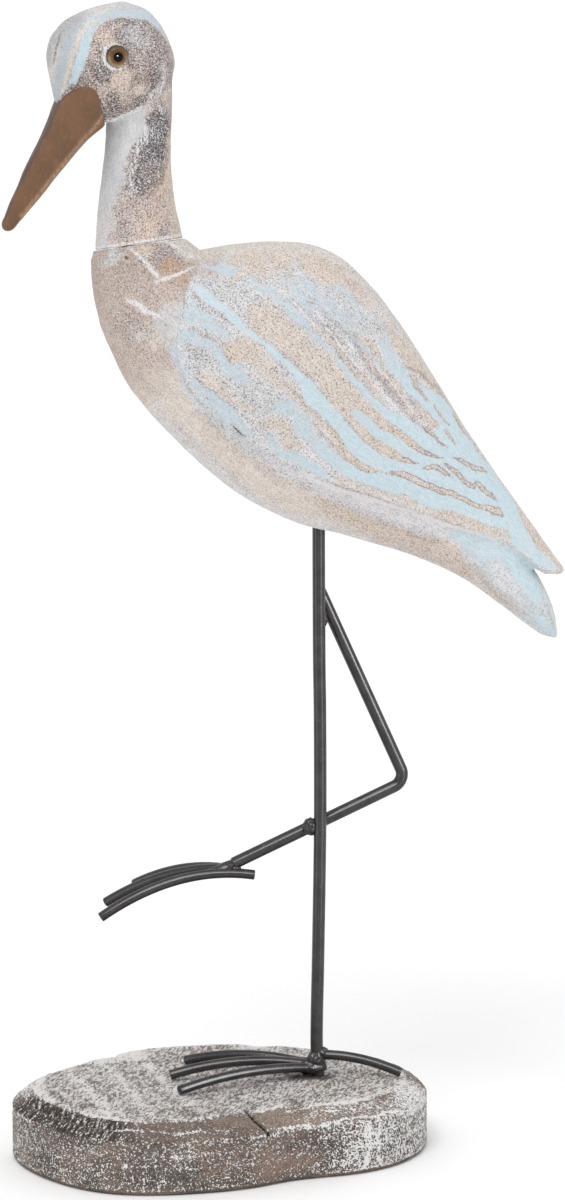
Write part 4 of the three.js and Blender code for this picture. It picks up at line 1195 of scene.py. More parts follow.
FACE_WASHES = [
    (band([(-21, 55, 60), (-12, 56.5, 61.5), (-6, 58, 63), (0, 60, 66), (3.5, 63, 70)]),
     NAPE_BROWN, 3, 0.8, 0.65, 0.35, 1.0),
    (spot((-22, 78), (4, 7.5), 8), MAUVE_DARK, 5, 0.9, 0.5, 0.42, 1.0),
    (spot((-24, 74), (2.4, 2.8), 30), NAPE_DARK, 3, 0.5, 0.7),
    (spot((-13.5, 88.5), (5, 3.6), 30), MAUVE_DARK, 4, 0.8, 0.55, 0.35, 1.0),
    (spot((-9.5, 94), (4, 2), 10), MAUVE_DARK, 3, 0.6, 0.6),
    (spot((-4.5, 74), (5, 7.5), -25), BROWN, 5, 0.8, 0.55, 0.3, 1.0),
    (spot((1.5, 70), (2.4, 5), -10), NAPE_BROWN, 3, 0.7, 0.7, None, 1.0),
    (spot((-17.5, 62), (3.4, 5), 20), NAPE_BROWN, 5, 0.5, 0.6),
    (spot((-26.5, 74), (2, 5), 15), BROWN, 3, 0.6, 0.45),
    (spot((-13.5, 71), (4.6, 5.8), -10), PEACH, 4, 0.95, 0.3, 0.25, 0.6),
    (spot((-11.5, 64), (3.4, 3.4), -10), PEACH, 4, 0.7, 0.42, 0.3, 0.8),
    (spot((-4.6, 66), (3.6, 2.4), 10), TAN, 2.5, 0.9, 0.35, 0.3, 0.7),
    (spot((-6, 80), (3.4, 3.4), 10), PEACH, 4, 0.35, 0.5),
    (spot((-19.5, 89), (5, 4.6), 40), PEACH, 4, 0.9, 0.4, 0.25, 0.7),
    (spot((-13.5, 94), (2.8, 1.8), 10), TAN, 2, 0.7, 0.35),
    (spot((-25, 82), (1.8, 5), 15), PEACH, 3, 0.7),
    (spot((-20.5, 66.5), (2.6, 3.6), 30), PEACH, 3, 0.7, 0.35, None, 0.7),
    (spot((-5.5, 89), (6, 4.4), -12), WHITEWASH, 5, 0.5, 0.48, 0.52, 1.0),
    (spot((0, 91), (6, 3.4), -12), MAUVE, 5, 0.4, 0.45, 0.55),
]
# Blue stripes of the cap: two that run up the forehead, (z, x), and one over the crown, (x, z)
FOREHEAD_STRIPES = [
    band([(69, -33.2, -30.6), (76, -32.4, -28.4), (83, -30.8, -26.2), (88, -29, -24.8), (92, -26.2, -23.6),
          (94, -23.8, -22)]),
    band([(62, -38, -36.6), (68, -38.4, -35.6), (74, -38.2, -35), (80, -37.6, -34), (86, -35.8, -31.8),
          (91, -32.8, -29.4), (95, -28.4, -25)]),
]
CROWN_STRIPE = band([(-24, 95.4, 97), (-18, 96.2, 98.4), (-12, 97, 99.4), (-5, 96.4, 99.4), (1, 95, 98.2),
                     (6, 92, 95.4)])
CAP_WASHES = [
    (stroke([(-35, 66), (-34.3, 75), (-32.8, 82), (-30.6, 88), (-27, 93), (-21, 97.2), (-15, 100)],
            (1.0, 1.8, 2.6, 2.8, 2.4, 1.6, 1.0)), BEIGE, 1.6, 0.9, 0.2),
    (stroke([(-34.6, 72), (-33, 81), (-31, 87)], 1.0), PEACH, 1.4, 0.7, 0.3),
    (stroke([(-38.6, 66), (-38.8, 75), (-37.6, 84)], 1.4), BEIGE, 1.6, 0.7),
    (stroke([(-22, 99), (-12, 101)], 1.2), BEIGE, 2, 0.6),
    (spot((5, 96), (6, 4), -35), HAZE_BLUE, 4, 0.6),
]
JAW_WHITE = stroke([(-20, 51.6), (-14.5, 53.8), (-9, 56.2), (-4, 58.8)], (2.8, 3.2, 2.8, 2.6))
HEAD_WHITES = [
    (stroke([(-4, 58.4), (1, 62), (5, 66), (6, 72), (5, 77)], (2.6, 4.6, 5.4, 4, 2)), 1.8, 0.74),
    (stroke([(0, 59), (6, 61), (10, 66)], 4.6), 3.0, 0.6),
    (spot((6.5, 57), (3.6, 2.2)), 2.0, 0.62),
    (stroke([(0, 50), (-2, 45), (-5, 40.5), (-6.4, 36), (-8, 30), (-9, 23)], (2.4, 3.2, 3.2, 2.8, 3.2, 2.8)),
     2.0, 0.8),
    (spot((3.4, 47.5), (3, 3)), 2.0, 0.62),
    (stroke([(6, 35.5), (4.4, 31)], 2.2), 1.4, 0.6),
    (stroke([(-18, 75.6), (-19.5, 77), (-20.5, 80)], 0.9), 0.8, 0.7),
]
# Painted shade: a dark line along the forehead's groove
FOREHEAD_GROOVE_SHADE = stroke([(-38.8, 77), (-37.8, 84), (-36.6, 88), (-35, 91)], (0.5, 0.7, 0.6, 0.3))


def edge_at(position, edge):
    return np.interp(position, *zip(*edge))


def neck_paint(paint, mild_x, mild_z):
    """The neck's speckle, from tan at the seam to dark behind the cheek, and the pale throat with painted
    shade along its front.
    """
    x, z = paint.along, paint.across
    paint.wash(24 - z, NECK_BASE, 8, 1.0, 0.45, 0.35, 0.8)
    paint.lay(NECK_WASHES)
    nape = x - 8.5 + np.maximum(z - 42, 0) * 0.2 - 3 * smoothstep(z, 42, 50)
    paint.wash(nape, TAN, 4, 0.7, 0.3, 0.15, 0.5)
    paint.wash(np.minimum(x - 10, z - 48), MAUVE, 5, 0.5, 0.3, None, 0.5)
    paint.wash(np.minimum(x - 13, 46 - z), BEIGE, 4, 0.8, 0.2, 0.1, 0.2)
    paint.wash(NAPE_SPOTS(x, z), NAPE_DARK, 5, 0.8, 0.55, 0.66, 1.0)
    throat = np.minimum(edge_at(z, THROAT_EDGE) - x, 54.2 - mild_z + JAW_SLOPE * (mild_x - JAW_X))
    paint.wash(throat, THROAT, 2.4, 0.97, 0.0, 0.1, 0.14)
    # Painted shade along the throat's front edge, widest under the chin
    paint.wash(np.minimum(throat, -x - 10.5 - 0.08 * (40 - z)), THROAT_PAINTED_SHADE, 4, 0.7)
    paint.wash(np.minimum(throat, 14 - z), BEIGE, 8, 0.4, 0.3, None, 0.5)


def face_paint(paint, mild_x, mild_z):
    """Tan, mauve and brown patches of the cheek, all of them speckled."""
    x, z = paint.along, paint.across
    face = mild_z - 54.6 - FACE_SLOPE * (mild_x - JAW_X)
    paint.wash(face, FACE_BASE, 2, 1.0, 0.6, 0.42, 1.0)
    paint.wash(np.minimum(face, x + 8), MAUVE, 8, 0.6, 0.48, 0.42)
    paint.wash(np.minimum(face, x - 8), MAUVE, 4, 0.8, 0.3, 0.3, 0.5)
    paint.wash(np.minimum(np.minimum(face, x - 12), z - 74), BEIGE, 4, 0.6, 0.1, None, 0.2)
    paint.lay(FACE_WASHES)


def cap_paint(paint, x, z):
    """The pale cap with its blue stripes, which sweep from the bill over the crown, and painted shade that
    darkens the forehead.
    """
    cap = z - edge_at(x, CAP_EDGE)
    paint.wash(cap, CAP_GREY, 1.0, 0.97, 0.12, 0.2, 0.2)
    # Painted shade: the cap is darker on the forehead
    paint.wash(np.minimum(cap, -26 - x), FOREHEAD_PAINTED_SHADE, 8, 0.9, 0.3)
    bright, dim = (stripe(z, x) for stripe in FOREHEAD_STRIPES)
    paint.blue = union([bright, dim, CROWN_STRIPE(x, z)])
    paint.worn = np.where(dim > -1.5, 0.42, 0.1)
    paint.dull = np.select([bright > -1, dim > -1.5], [0.25, 1.0], 0.5)
    for shape, *looks in CAP_WASHES:
        paint.wash(shape(x, z), *looks)


def head_paint(mesh, places, clean_x, y, clean_z):
    from_eye = np.hypot(clean_x - EYE_PLACE[0], clean_z - EYE_PLACE[2])
    calm = smoothstep(from_eye, EYE_RADIUS, EYE_RADIUS + 3)
    x = clean_x + (ragged(places, 5, 2.4, 81) + ragged(places, 1.7, 1.0, 84)) * calm
    z = clean_z + (ragged(places, 5, 2.4, 87) + ragged(places, 1.7, 1.0, 90)) * calm
    mild_x = clean_x + MILD_SHARE * (x - clean_x)
    mild_z = clean_z + MILD_SHARE * (z - clean_z)
    paint = Paint(mesh, x, z, PEACH)
    neck_paint(paint, mild_x, mild_z)
    face_paint(paint, mild_x, mild_z)
    cap_paint(paint, mild_x, mild_z)
    # White strokes, the ring round the eye, which is wider on its left, and the glue line of the seam
    paint.brush(JAW_WHITE(mild_x, mild_z), 0.8)
    paint.brush_all(x, z, HEAD_WHITES)
    left = np.clip(-(clean_x - EYE_PLACE[0]) / from_eye, -1, 1)
    paint.brush((0.5 + 0.5 * left) - np.abs(from_eye - EYE_RADIUS - 0.4 - 0.5 * left), 0.5)
    seam = 0.9 - np.abs(clean_z - 1.2 - clean_x * math.tan(SEAM_TILT) + y * math.tan(SEAM_ROLL))
    paint.brush(seam, 0.8, 0.9)
    # Dark lines: painted shade in the forehead's groove, and the thin line round the eye
    paint.ink = np.maximum(FOREHEAD_GROOVE_SHADE(mild_x, mild_z) - 0.2, 0.1 - np.abs(from_eye - EYE_RADIUS + 0.1))
    paint.keep()


def make_neck_and_head():
    mesh = joined("neck_and_head_carved", [neck(), skull()], HEAD_VOXEL)
    relax(mesh, STEP_FREE * 4)
    places = places_of(mesh)
    x, y, z = places.T
    raise_by(mesh, head_relief(x, y, z, places))
    keep_vectors(mesh, "flow", (z, x, y))
    far = smoothstep(y, -2, 8)
    head_paint(mesh, places, x + far * (1.2 * np.sin(z / 5) - 0.6), y, z + far * 1.4 * np.sin(x / 6))
    return mesh


# Bill: a long tapering wedge that points forward and down
BILL_SLOPE = math.radians(55.3)
BILL_ROOT = (-20.4, 64.4)
BILL_START = -10.5
BILL_LENGTH = 68.5
BILL_TIP_LENGTH = 4.0
BILL_TIP_START = BILL_LENGTH - BILL_TIP_LENGTH
BILL_SQUARENESS = 2.3
bill_upper_line = line([
    (-10.5, 4), (-6.5, 7), (-4, 8.6), (-2, 9.6), (1, 10.6), (8, 11.2), (14.5, 10.6), (22, 9.2), (29, 8.1),
    (38, 7.2), (44, 6.5), (50, 5.4), (57, 4.4), (62, 3.3), (64.5, 2.8),
])
bill_lower_line = line([
    (-10.5, 2), (-4, 2.4), (-1, 2.9), (1, 3.6), (3.4, 5.2), (5.6, 7), (7.2, 9), (8.4, 10.8), (9.6, 11),
    (12, 10.4), (15, 9.5), (18, 8.8), (22.4, 8.1), (28, 7.4), (35.7, 6.6), (41, 6), (46.3, 5.5), (51.7, 4.8),
    (57, 4), (64.5, 3.1),
])
bill_breadth_line = line([
    (-10.5, 7), (-6.5, 11.2), (-4, 13.2), (3, 13.5), (8, 12.4), (14.5, 10.6), (29, 7.6), (44, 5.5), (57, 4),
    (64.5, 3),
])
BILL_ROOT_SQUARENESS = 3.2
BILL_ROOT_END = 18.0
# A soft arris from the root's lower corner, which parts the side from the lower facet
BILL_ARRIS = stroke([(0, -4), (5, -5.6), (10, -5.8), (20, -5), (34, -3.8), (48, -2.9), (60, -2)], 1.5)


def from_bill_frame(along, across):
    x = BILL_ROOT[0] - along * math.cos(BILL_SLOPE) - across * math.sin(BILL_SLOPE)
    z = BILL_ROOT[1] - along * math.sin(BILL_SLOPE) + across * math.cos(BILL_SLOPE)
    return x, z


def to_bill_frame(x, z):
    x, z = x - BILL_ROOT[0], z - BILL_ROOT[1]
    along = -x * math.cos(BILL_SLOPE) - z * math.sin(BILL_SLOPE)
    across = -x * math.sin(BILL_SLOPE) + z * math.cos(BILL_SLOPE)
    return along, across


def bill_skin(count=190, tip_count=24, sides=96):
    """Squarish rings along the bill, which close in to a rounded tip."""
    angles = around(sides)
    tip = BILL_TIP_START + BILL_TIP_LENGTH * np.sin(np.linspace(0, math.pi / 2 - 0.06, tip_count)[1:])
    rings = []
    for along in np.concatenate([np.linspace(BILL_START, BILL_TIP_START, count), tip]):
        share = max((along - BILL_TIP_START) / BILL_TIP_LENGTH, 0)
        end = math.sqrt(1 - share**2)
        squareness = np.interp(along, (0, BILL_ROOT_END), (BILL_ROOT_SQUARENESS, BILL_SQUARENESS))
        up = squared(np.cos(angles), squareness)
        reach = np.where(up > 0, bill_upper_line(along), bill_lower_line(along)) * end
        side = bill_breadth_line(along) * end * squared(np.sin(angles), squareness)
        x, z = from_bill_frame(along, up * reach)
        rings.append(np.stack([x, side, z], 1))
    return shell(rings)


def make_bill():
    mesh = mesh_of("bill_stained", [bill_skin()])
    places = places_of(mesh)
    along, across = to_bill_frame(places[:, 0], places[:, 2])
    arris = BILL_ARRIS(along, across)
    raise_by(mesh, 0.3 * (rugged(places, 9, 31) - 0.5) + 0.4 * smoothstep(arris, -1.6, 0.6))
    inside = np.clip(along, BILL_START, BILL_TIP_START)
    reach = np.where(across > 0, bill_upper_line(inside), bill_lower_line(np.maximum(inside, 10)))
    keep_field(mesh, "across", across / reach)
    # Where the painted highlight runs, along the arris
    keep_field(mesh, "arris", smoothstep(arris, -0.9, 0.6) * smoothstep(along, 0, 8))
    return mesh


def stained_bill():
    """Brown stained wood, satin, paler along its lower facet, with a painted highlight along the arris and
    painted shade along its upper and lower edges.
    """
    s = Shade("stained_bill")
    across = s.field("across")
    cloud = s.grain(9, 1, detail=3)
    streak = s.grain(1.2, 2, detail=2, stretch=(1.0, 1.0, 0.35))
    fine = s.grain(0.5, 3, detail=1)
    colour = s.mix(s.span(cloud, 0.35, 0.65), seen(120, 85, 60), seen(108, 79, 55))
    colour = s.mix(s.span(streak, 0.5, 0.75, 0.0, 0.4), colour, seen(136, 98, 70))
    low = s.plus(across, s.sway(cloud, -0.04, 0.04))
    colour = s.mix(s.span(low, -0.5, -0.7, 0.0, 0.8), colour, seen(136, 102, 74))
    # Painted highlight: a pale golden line along the arris
    glint = s.times(s.field("arris"), s.span(streak, 0.3, 0.6, 0.3, 0.85))
    colour = s.mix(glint, colour, seen(178, 142, 110))
    # Painted shade: darker along the bill's upper and lower edges
    colour = s.mix(s.span(low, -0.88, -0.98, 0.0, 0.85), colour, seen(84, 66, 54))
    colour = s.mix(s.span(low, 0.88, 1.0, 0.0, 0.85), colour, seen(78, 60, 52))
    colour = s.darker(colour, s.sway(fine, 0.93, 1.07))
    normal = s.bump(s.plus(s.times(fine, 0.4), streak), 0.08, 0.6)
    return s.done(colour, s.sway(cloud, 0.34, 0.44), normal, Specular_IOR_Level=0.4)


def make_eye(side, steps=40, sides=64):
    """Glass dome on a round back: its own frame looks outwards along +Z."""
    profile = [(EYE_RADIUS, -EYE_DEPTH), (EYE_RADIUS, -EYE_SINK)]
    profile += [(EYE_RADIUS * math.cos(a), EYE_BULGE * math.sin(a) - EYE_SINK)
                for a in np.linspace(0.04, math.pi / 2 - 0.02, steps)]
    angles = around(sides)
    mesh = mesh_of("eye", [shell([level_ring(radius, height, angles) for radius, height in profile])])
    right, high, out = places_of(mesh).T
    keep_field(mesh, "from_middle", np.hypot(right, high))
    keep_field(mesh, "upper", high / EYE_RADIUS)
    # From looking along +Z to looking along the side, turned a little forward
    x, y = turned_by(-EYE_TURN, right, -out)
    set_places(mesh, (np.stack([x, y, high], 1) + EYE_PLACE) * np.array([1, -side, 1]))
    return mesh


def glass_eye():
    """Amber iris with a dark rim and a black pupil under a clear gloss; its upper part is darkened by painted
    shade and its lower outer part lightened by painted light.
    """
    s = Shade("glass_eye")
    radius = s.field("from_middle")
    fibre = s.grain(0.6, 1, detail=2)
    cloud = s.grain(3.5, 2, detail=1)
    colour = s.mix(s.sway(fibre), seen(130, 98, 68), seen(92, 66, 45))
    colour = s.mix(s.span(cloud, 0.4, 0.65, 0.0, 0.5), colour, seen(86, 64, 40))
    # Painted shade: the upper iris is darker
    colour = s.mix(s.span(s.field("upper"), -0.3, 0.7, 0.0, 0.6), colour, seen(70, 54, 36))
    colour = s.mix(s.span(radius, 2.2, 3.1, 0.6, 0.0), colour, seen(76, 54, 34))
    # Painted light: the iris's outer part is lighter, most of all at the bottom
    glow = s.times(s.span(radius, 3.0, 3.8), s.span(s.field("upper"), 0.5, -0.5, 0.1, 0.75))
    colour = s.mix(glow, colour, seen(146, 132, 98))
    colour = s.mix(s.span(radius, 4.1, 4.6), colour, seen(60, 50, 40))
    colour = s.mix(s.span(radius, 2.25, 1.9), colour, seen(8, 5, 4))
    return s.done(colour, 0.3, Coat_Weight=0.55, Coat_Roughness=0.03, Coat_IOR=1.33, Specular_IOR_Level=0.0)


def tube(points, radius, sides=40):
    points = np.asarray(points, float)
    angles = around(sides)
    radii = np.broadcast_to(np.asarray(radius, float), (len(points),))
    rings = []
    for i, point in enumerate(points):
        forward = points[min(i + 1, len(points) - 1)] - points[max(i - 1, 0)]
        forward /= np.linalg.norm(forward)
        across = np.array([1.0, 0, 0]) if abs(forward[1]) > 0.9 else np.array([0, 1.0, 0])
        first = across - across.dot(forward) * forward
        first /= np.linalg.norm(first)
        second = np.cross(forward, first)
        rings.append(point + radii[i] * (np.cos(angles)[:, None] * first + np.sin(angles)[:, None] * second))
    return shell(rings)


def rounded(points, radius, edge=0.35):
    """Radii along a bar whose square-cut ends are softened by paint."""
    points = np.asarray(points, float)
    run = np.concatenate([[0], np.cumsum(np.linalg.norm(np.diff(points, axis=0), axis=1))])
    near = np.minimum(run, run[-1] - run)
    part = np.clip(near / edge, 0, 1)
    return radius - edge * (1 - np.sqrt(1 - (1 - part) ** 2))


def with_ends(points, edge=0.35):
    """Adds close-set points at both ends of a path, for the softened edge."""
    points = np.asarray(points, float)
    steps = np.array([0, 0.04, 0.15, 0.35, 0.6, 1.0])[:, None] * edge
    start = (points[1] - points[0]) / np.linalg.norm(points[1] - points[0])
    end = (points[-2] - points[-1]) / np.linalg.norm(points[-2] - points[-1])
    return np.concatenate([points[0] + steps * start, points[1:-1], (points[-1] + steps * end)[::-1]])


def blob(centre, radii, seed, rough=0.22, steps=28):
    """A lumpy weld bead."""
    rings = []
    angles = around(2 * steps)
    for a in np.linspace(0.06, math.pi - 0.06, steps):
        unit = np.stack([np.sin(a) * np.cos(angles), np.sin(a) * np.sin(angles),
                         np.full(len(angles), np.cos(a))], 1)
        swell = 1 + rough * 2 * (rugged(unit * 3 + seed * 5.3, 1.0, seed, 2) - 0.5)
        rings.append(np.asarray(centre) + unit * np.asarray(radii) * swell[:, None])
    return shell(rings)


def fused(name, bar, lumps):
    """Joins weld beads to a rod, so that the piece is one skin."""
    whole = object_of(name, mesh_of(name, [bar]))
    extras = []
    for i, lump in enumerate(lumps):
        extra = object_of(f"{name}_bead_{i}", mesh_of(f"{name}_bead_{i}", [lump]))
        join = whole.modifiers.new(f"join_{i}", "BOOLEAN")
        join.operation = "UNION"
        join.solver = "MANIFOLD"
        join.object = extra
        extras.append(extra)
    graph = bpy.context.evaluated_depsgraph_get()
    mesh = bpy.data.meshes.new_from_object(whole.evaluated_get(graph))
    mesh.name = name
    for old in [whole, *extras]:
        data = old.data
        bpy.data.objects.remove(old)
        bpy.data.meshes.remove(data)
    return mesh


# Legs and toes, in the bird's frame
RAISED_LEG_Y = ROD_RADIUS + RAISED_ROD_RADIUS + GAP
RAISED_TOP = np.array([1.2, RAISED_LEG_Y, 214.2])
RAISED_KNEE = np.array([39.4, RAISED_LEG_Y, 129.1])
RAISED_FOOT = np.array([-36.5, RAISED_LEG_Y, 94.5])
KNEE_RADIUS = 6.0
# The standing rod is not quite straight: how far its middle wanders along x at each height
leg_bow_line = line([(-20, 0), (2, 0), (16, -0.6), (52, 0), (91, 0.6), (117, 0.85), (161, 0.7), (185, 0.35),
                     (228, 0.1), (270, 0)])


def bent_path(start, corner, end, radius, steps=18):
    before = (start - corner) / np.linalg.norm(start - corner)
    after = (end - corner) / np.linalg.norm(end - corner)
    half = math.acos(before.dot(after)) / 2
    bisector = (before + after) / np.linalg.norm(before + after)
    centre = corner + bisector * radius / math.sin(half)
    setback = radius / math.tan(half)
    entry = corner + before * setback - centre
    leave = corner + after * setback - centre
    sweep = math.pi - 2 * half
    bend = [centre + (entry * math.sin((1 - t) * sweep) + leave * math.sin(t * sweep)) / math.sin(sweep)
            for t in np.linspace(0, 1, steps)]
    return np.array([start, *bend, end])


def toe_path(root, heading, reach, drop, arch, steps=28):
    angle = math.radians(heading)
    t = np.linspace(0, 1, steps)[:, None]
    rise = arch * 4 * t * (1 - t) - drop * t**2
    forward = np.array([-math.cos(angle), math.sin(angle), 0])
    return np.asarray(root) + forward * reach * t + np.array([0, 0, 1]) * rise


# Weld metal under the raised foot: x, z and radius
RAISED_WEB = [(-33, 95.6, 1.6), (-36, 94, 2.6), (-39.5, 92.3, 3.1), (-43, 91.2, 2.6), (-47, 90.6, 1.8),
              (-51, 89.8, 0.8)]
RAISED_TOE_ROOT = (-37.6, RAISED_LEG_Y + 0.6, 92)
# Root, heading in degrees, length, drop and arch of each toe
TOES = {
    "standing_toe_left": ((-3, -1.5, 3.8), -22, 66, 1.4, 2.6),
    "standing_toe_middle": ((-3, 0, 4.8), 0, 62, 2.4, 3.2),
    "standing_toe_right": ((-3, 1.5, 4.4), 23, 57, 2, 3),
    "standing_toe_hind": ((1, -0.3, 9.2), -164, 35.5, 6.8, 0.4),
    "raised_toe_left": ((-27.5, RAISED_LEG_Y - 2.6, 89.8), 2, 67, 17.3, 2.8),
    "raised_toe_middle": (RAISED_TOE_ROOT, 24, 57, 18.6, 0.2),
    "raised_toe_right": (RAISED_TOE_ROOT, 46, 54, 14.2, 0),
}


def make_standing_leg():
    middle = [(float(leg_bow_line(z)), 0, z) for z in np.linspace(-10, 260, 90)]
    path = with_ends([(0, 0, -LEG_DEPTH_IN_BASE), *middle, (0, 0, LEG_TOP)])
    lumps = [
        blob((-3, 0, 4.2), (6.4, 5.0, 3.8), 1),
        blob((-0.6, -0.6, 7.6), (3.9, 3.6, 4.4), 2),
        blob((1.6, -0.4, 10.0), (3.2, 3.2, 2.8), 6),
        blob((-5.4, -1.6, 4.8), (3.4, 2.8, 2.6), 7),
        blob((-3.2, 1.2, 110.8), (3.4, 3.4, 3.8), 3, 0.16),
        blob((2.2, 2.4, 202), (2.2, 2.4, 4), 4),
    ]
    return fused("standing_leg_steel", tube(path, rounded(path, ROD_RADIUS + COAT)), lumps)


def make_raised_leg():
    path = with_ends(bent_path(RAISED_TOP, RAISED_KNEE, RAISED_FOOT, KNEE_RADIUS))
    xs, zs, radii = zip(*RAISED_WEB)
    web = tube([(x, RAISED_LEG_Y + 0.4, z) for x, z in zip(xs, zs)], radii)
    lumps = [web, blob((-35.6, RAISED_LEG_Y, 92.4), (2.6, 2.8, 2.4), 5)]
    return fused("raised_leg_steel", tube(path, rounded(path, RAISED_ROD_RADIUS + RAISED_COAT)), lumps)


def make_toe(name, *run):
    path = with_ends(toe_path(*run))
    return mesh_of(name + "_steel", [tube(path, rounded(path, TOE_RADIUS))])


def black_steel():
    """Welded rod under thin satin black paint."""
    s = Shade("black_steel")
    cloud = s.grain(7, 1, detail=3)
    small = s.grain(1.3, 2, detail=3)
    fine = s.grain(0.35, 3, detail=1)
    colour = s.mix(s.sway(cloud), seen(22, 20, 20), seen(34, 32, 32))
    colour = s.mix(s.span(small, 0.62, 0.72, 0.0, 0.25), colour, seen(76, 73, 71))
    height = s.plus(small, s.times(fine, 0.2))
    normal = s.bump(height, 0.02, 0.3)
    return s.done(colour, s.sway(small, 0.19, 0.26), normal, Specular_IOR_Level=0.42)


# Base: a weathered slab
BASE_HALF_LENGTH = 91.0
BASE_HALF_DEPTH = 70.0
BASE_TURN = math.radians(4)
# Swells and hollows of its outline: heading and width in degrees, and size
BASE_SWELLS = [(-64, 22, -9), (-130, 24, 9), (150, 17, -5), (131, 5, -4), (67, 4.5, -4.5), (46, 14, -3.5)]
BEVEL_FRONT_SHARE = 0.25
# Inset, as a share of the bevel's width, and height of each ring
BASE_RINGS = [(0.15, 0), (0, 1.5), (0, BASE_EDGE_HEIGHT),
              (0.45, BASE_EDGE_HEIGHT + 0.6 * (BASE_THICKNESS - BASE_EDGE_HEIGHT)), (1, BASE_THICKNESS)]
BASE_SPLIT = stroke([(4.6, -45), (5, -53), (8, -59), (13.4, -64), (15, -66)], (0.3, 0.9, 1.3, 1.5, 0.6))
SPLIT_DEPTH = 3.2
SOLE_HEIGHT = 2
FOOT_REACH = 9
# Paint that laps over the bevel starts at this height
LAP_HEIGHT = 22


def base_radius(angles):
    turned = angles - BASE_TURN
    radius = 1 / np.hypot(np.cos(turned) / BASE_HALF_LENGTH, np.sin(turned) / BASE_HALF_DEPTH)
    for heading, width, size in BASE_SWELLS:
        away = angles - math.radians(heading)
        away = np.arctan2(np.sin(away), np.cos(away)) / math.radians(width)
        radius = radius + size * np.exp(-away**2)
    return radius


def bevel_width(angles):
    return BASE_BEVEL_WIDTH * (1 - BEVEL_FRONT_SHARE * np.sin(angles))


def base_zones(z):
    """Shares of the top, the bevel and the side at each height."""
    on_top = smoothstep(z, BASE_THICKNESS - 0.7, BASE_THICKNESS - 0.2)
    on_bevel = smoothstep(z, BASE_EDGE_HEIGHT - 1.5, BASE_EDGE_HEIGHT + 0.5) * (1 - on_top)
    on_side = (z > SOLE_HEIGHT) * (1 - on_top) * (1 - on_bevel)
    return on_top, on_bevel, on_side


def base_relief(places, on_top, on_bevel, on_side):
    """Heights of the worn grain, the broken bevel, the uneven side and the drying split."""
    x, y, z = places.T
    up = 0.5 * (rugged(places, (16, 9, 9), 41) - 0.5) * on_top
    up += 0.35 * (grain(places, (3.0, 1.2, 2), 44) - 0.5) * on_top
    up += 1.5 * (rugged(places, 6, 45) - 0.6) * on_bevel
    up += 0.7 * (grain(places, 1.9, 47) - 0.5) * on_bevel
    up += 0.7 * (rugged(places, (7, 7, 12), 48) - 0.55) * on_side
    up += 0.4 * (grain(places, (1.6, 1.6, 3.2), 51) - 0.5) * on_side
    up -= SPLIT_DEPTH * smoothstep(BASE_SPLIT(x, y), -0.5, 0.5) * (z > BASE_EDGE_HEIGHT - 2.5)
    by_leg = (np.hypot(x - BIRD_PLACE[0], y - BIRD_PLACE[1]) < FOOT_REACH) & (z > BASE_EDGE_HEIGHT)
    return np.where(by_leg, np.minimum(up, 0.1), up)


def make_base(sides=420):
    angles = around(sides)
    rings = []
    for inset, height in BASE_RINGS:
        radius = base_radius(angles) - inset * bevel_width(angles)
        rings.append(level_ring(radius, height, angles))
    mesh = joined("base_weathered", [shell(rings)], BASE_VOXEL)
    relax(mesh, STEP_FREE * 2)
    places = places_of(mesh)
    zones = base_zones(places[:, 2])
    raise_by(mesh, base_relief(places, *zones))
    base_paint(mesh, places, *zones)
    return mesh


BASE_TOP_GREY = seen(150, 142, 137)
BASE_TOP_BROWN = seen(158, 144, 134)
BASE_SIDE_DARK = seen(104, 94, 88)
BASE_SIDE_BROWN = seen(128, 112, 101)
SIDE_PATCH_BROWN = seen(148, 126, 112)
BEVEL_BROWN = seen(120, 107, 98)
BEVEL_BARE = seen(148, 132, 121)
BEVEL_DARK = seen(88, 78, 73)
# A bare patch of the side, by its heading in degrees and its height
SIDE_PATCH = spot((-72, 9), (14, 5))
# Level white lines of the side: height and strength
SIDE_WHITE_LINES = [(23.6, 0.34), (17.6, 0.16), (12.2, 0.16), (6.4, 0.1)]
# White posts, by millimetres round the side and height
SIDE_POSTS = either(stroke([(-58, 2), (-56.5, 12), (-57.5, 23)], 1.6),
                    stroke([(-51.5, 5), (-52.2, 14), (-51, 24)], 1.0))
# Millimetres in a degree of the side's heading, and the radius for which its grain is laid out
SIDE_DEGREE = 1.4
SIDE_RADIUS = 85
# Patches and strokes of the top and the bevel, seen from above
BARE_PLACES = either(spot((27, -41), (3.5, 7)), spot((-20, -50), (3.5, 10)), spot((-62, -34), (5, 6)),
                     spot((14, -54), (9, 4)), spot((-4, -60), (8, 4)))
WHITE_PLACES = either(spot((-38, 48), (14, 9), 30), spot((22, 56), (8, 6)), spot((-6, 64), (12, 4)),
                      spot((-82, 14), (6, 22)), spot((80, -22), (6, 14), -20), spot((50, -44), (16, 4), 20),
                      spot((-58, -46), (10, 4), -50))
SOOT_PLACES = either(spot((37, 1), (7, 4), 15), spot((44, 0), (5, 5)))
PALE_STREAKS = either(stroke([(-66, 34), (-52, -44)], 3.5), stroke([(-48, 44), (-36, -50)], 3.5),
                      stroke([(-30, 40), (-16, -48)], 3.5), stroke([(-84, 10), (-76, -24)], 3.5))
BEVEL_WHITE_LINES = either(
    stroke([(9, -51.5), (25, -48.5), (40, -43.5), (60, -37)], 0.8),
    stroke([(12, -62), (26, -56.5), (44, -52.5), (62, -46), (74, -37)], 0.8),
    stroke([(30, -54), (34, -49), (44, -47.5)], 0.8),
    stroke([(-56, -62), (-30, -69), (0, -66)], 0.8),
)


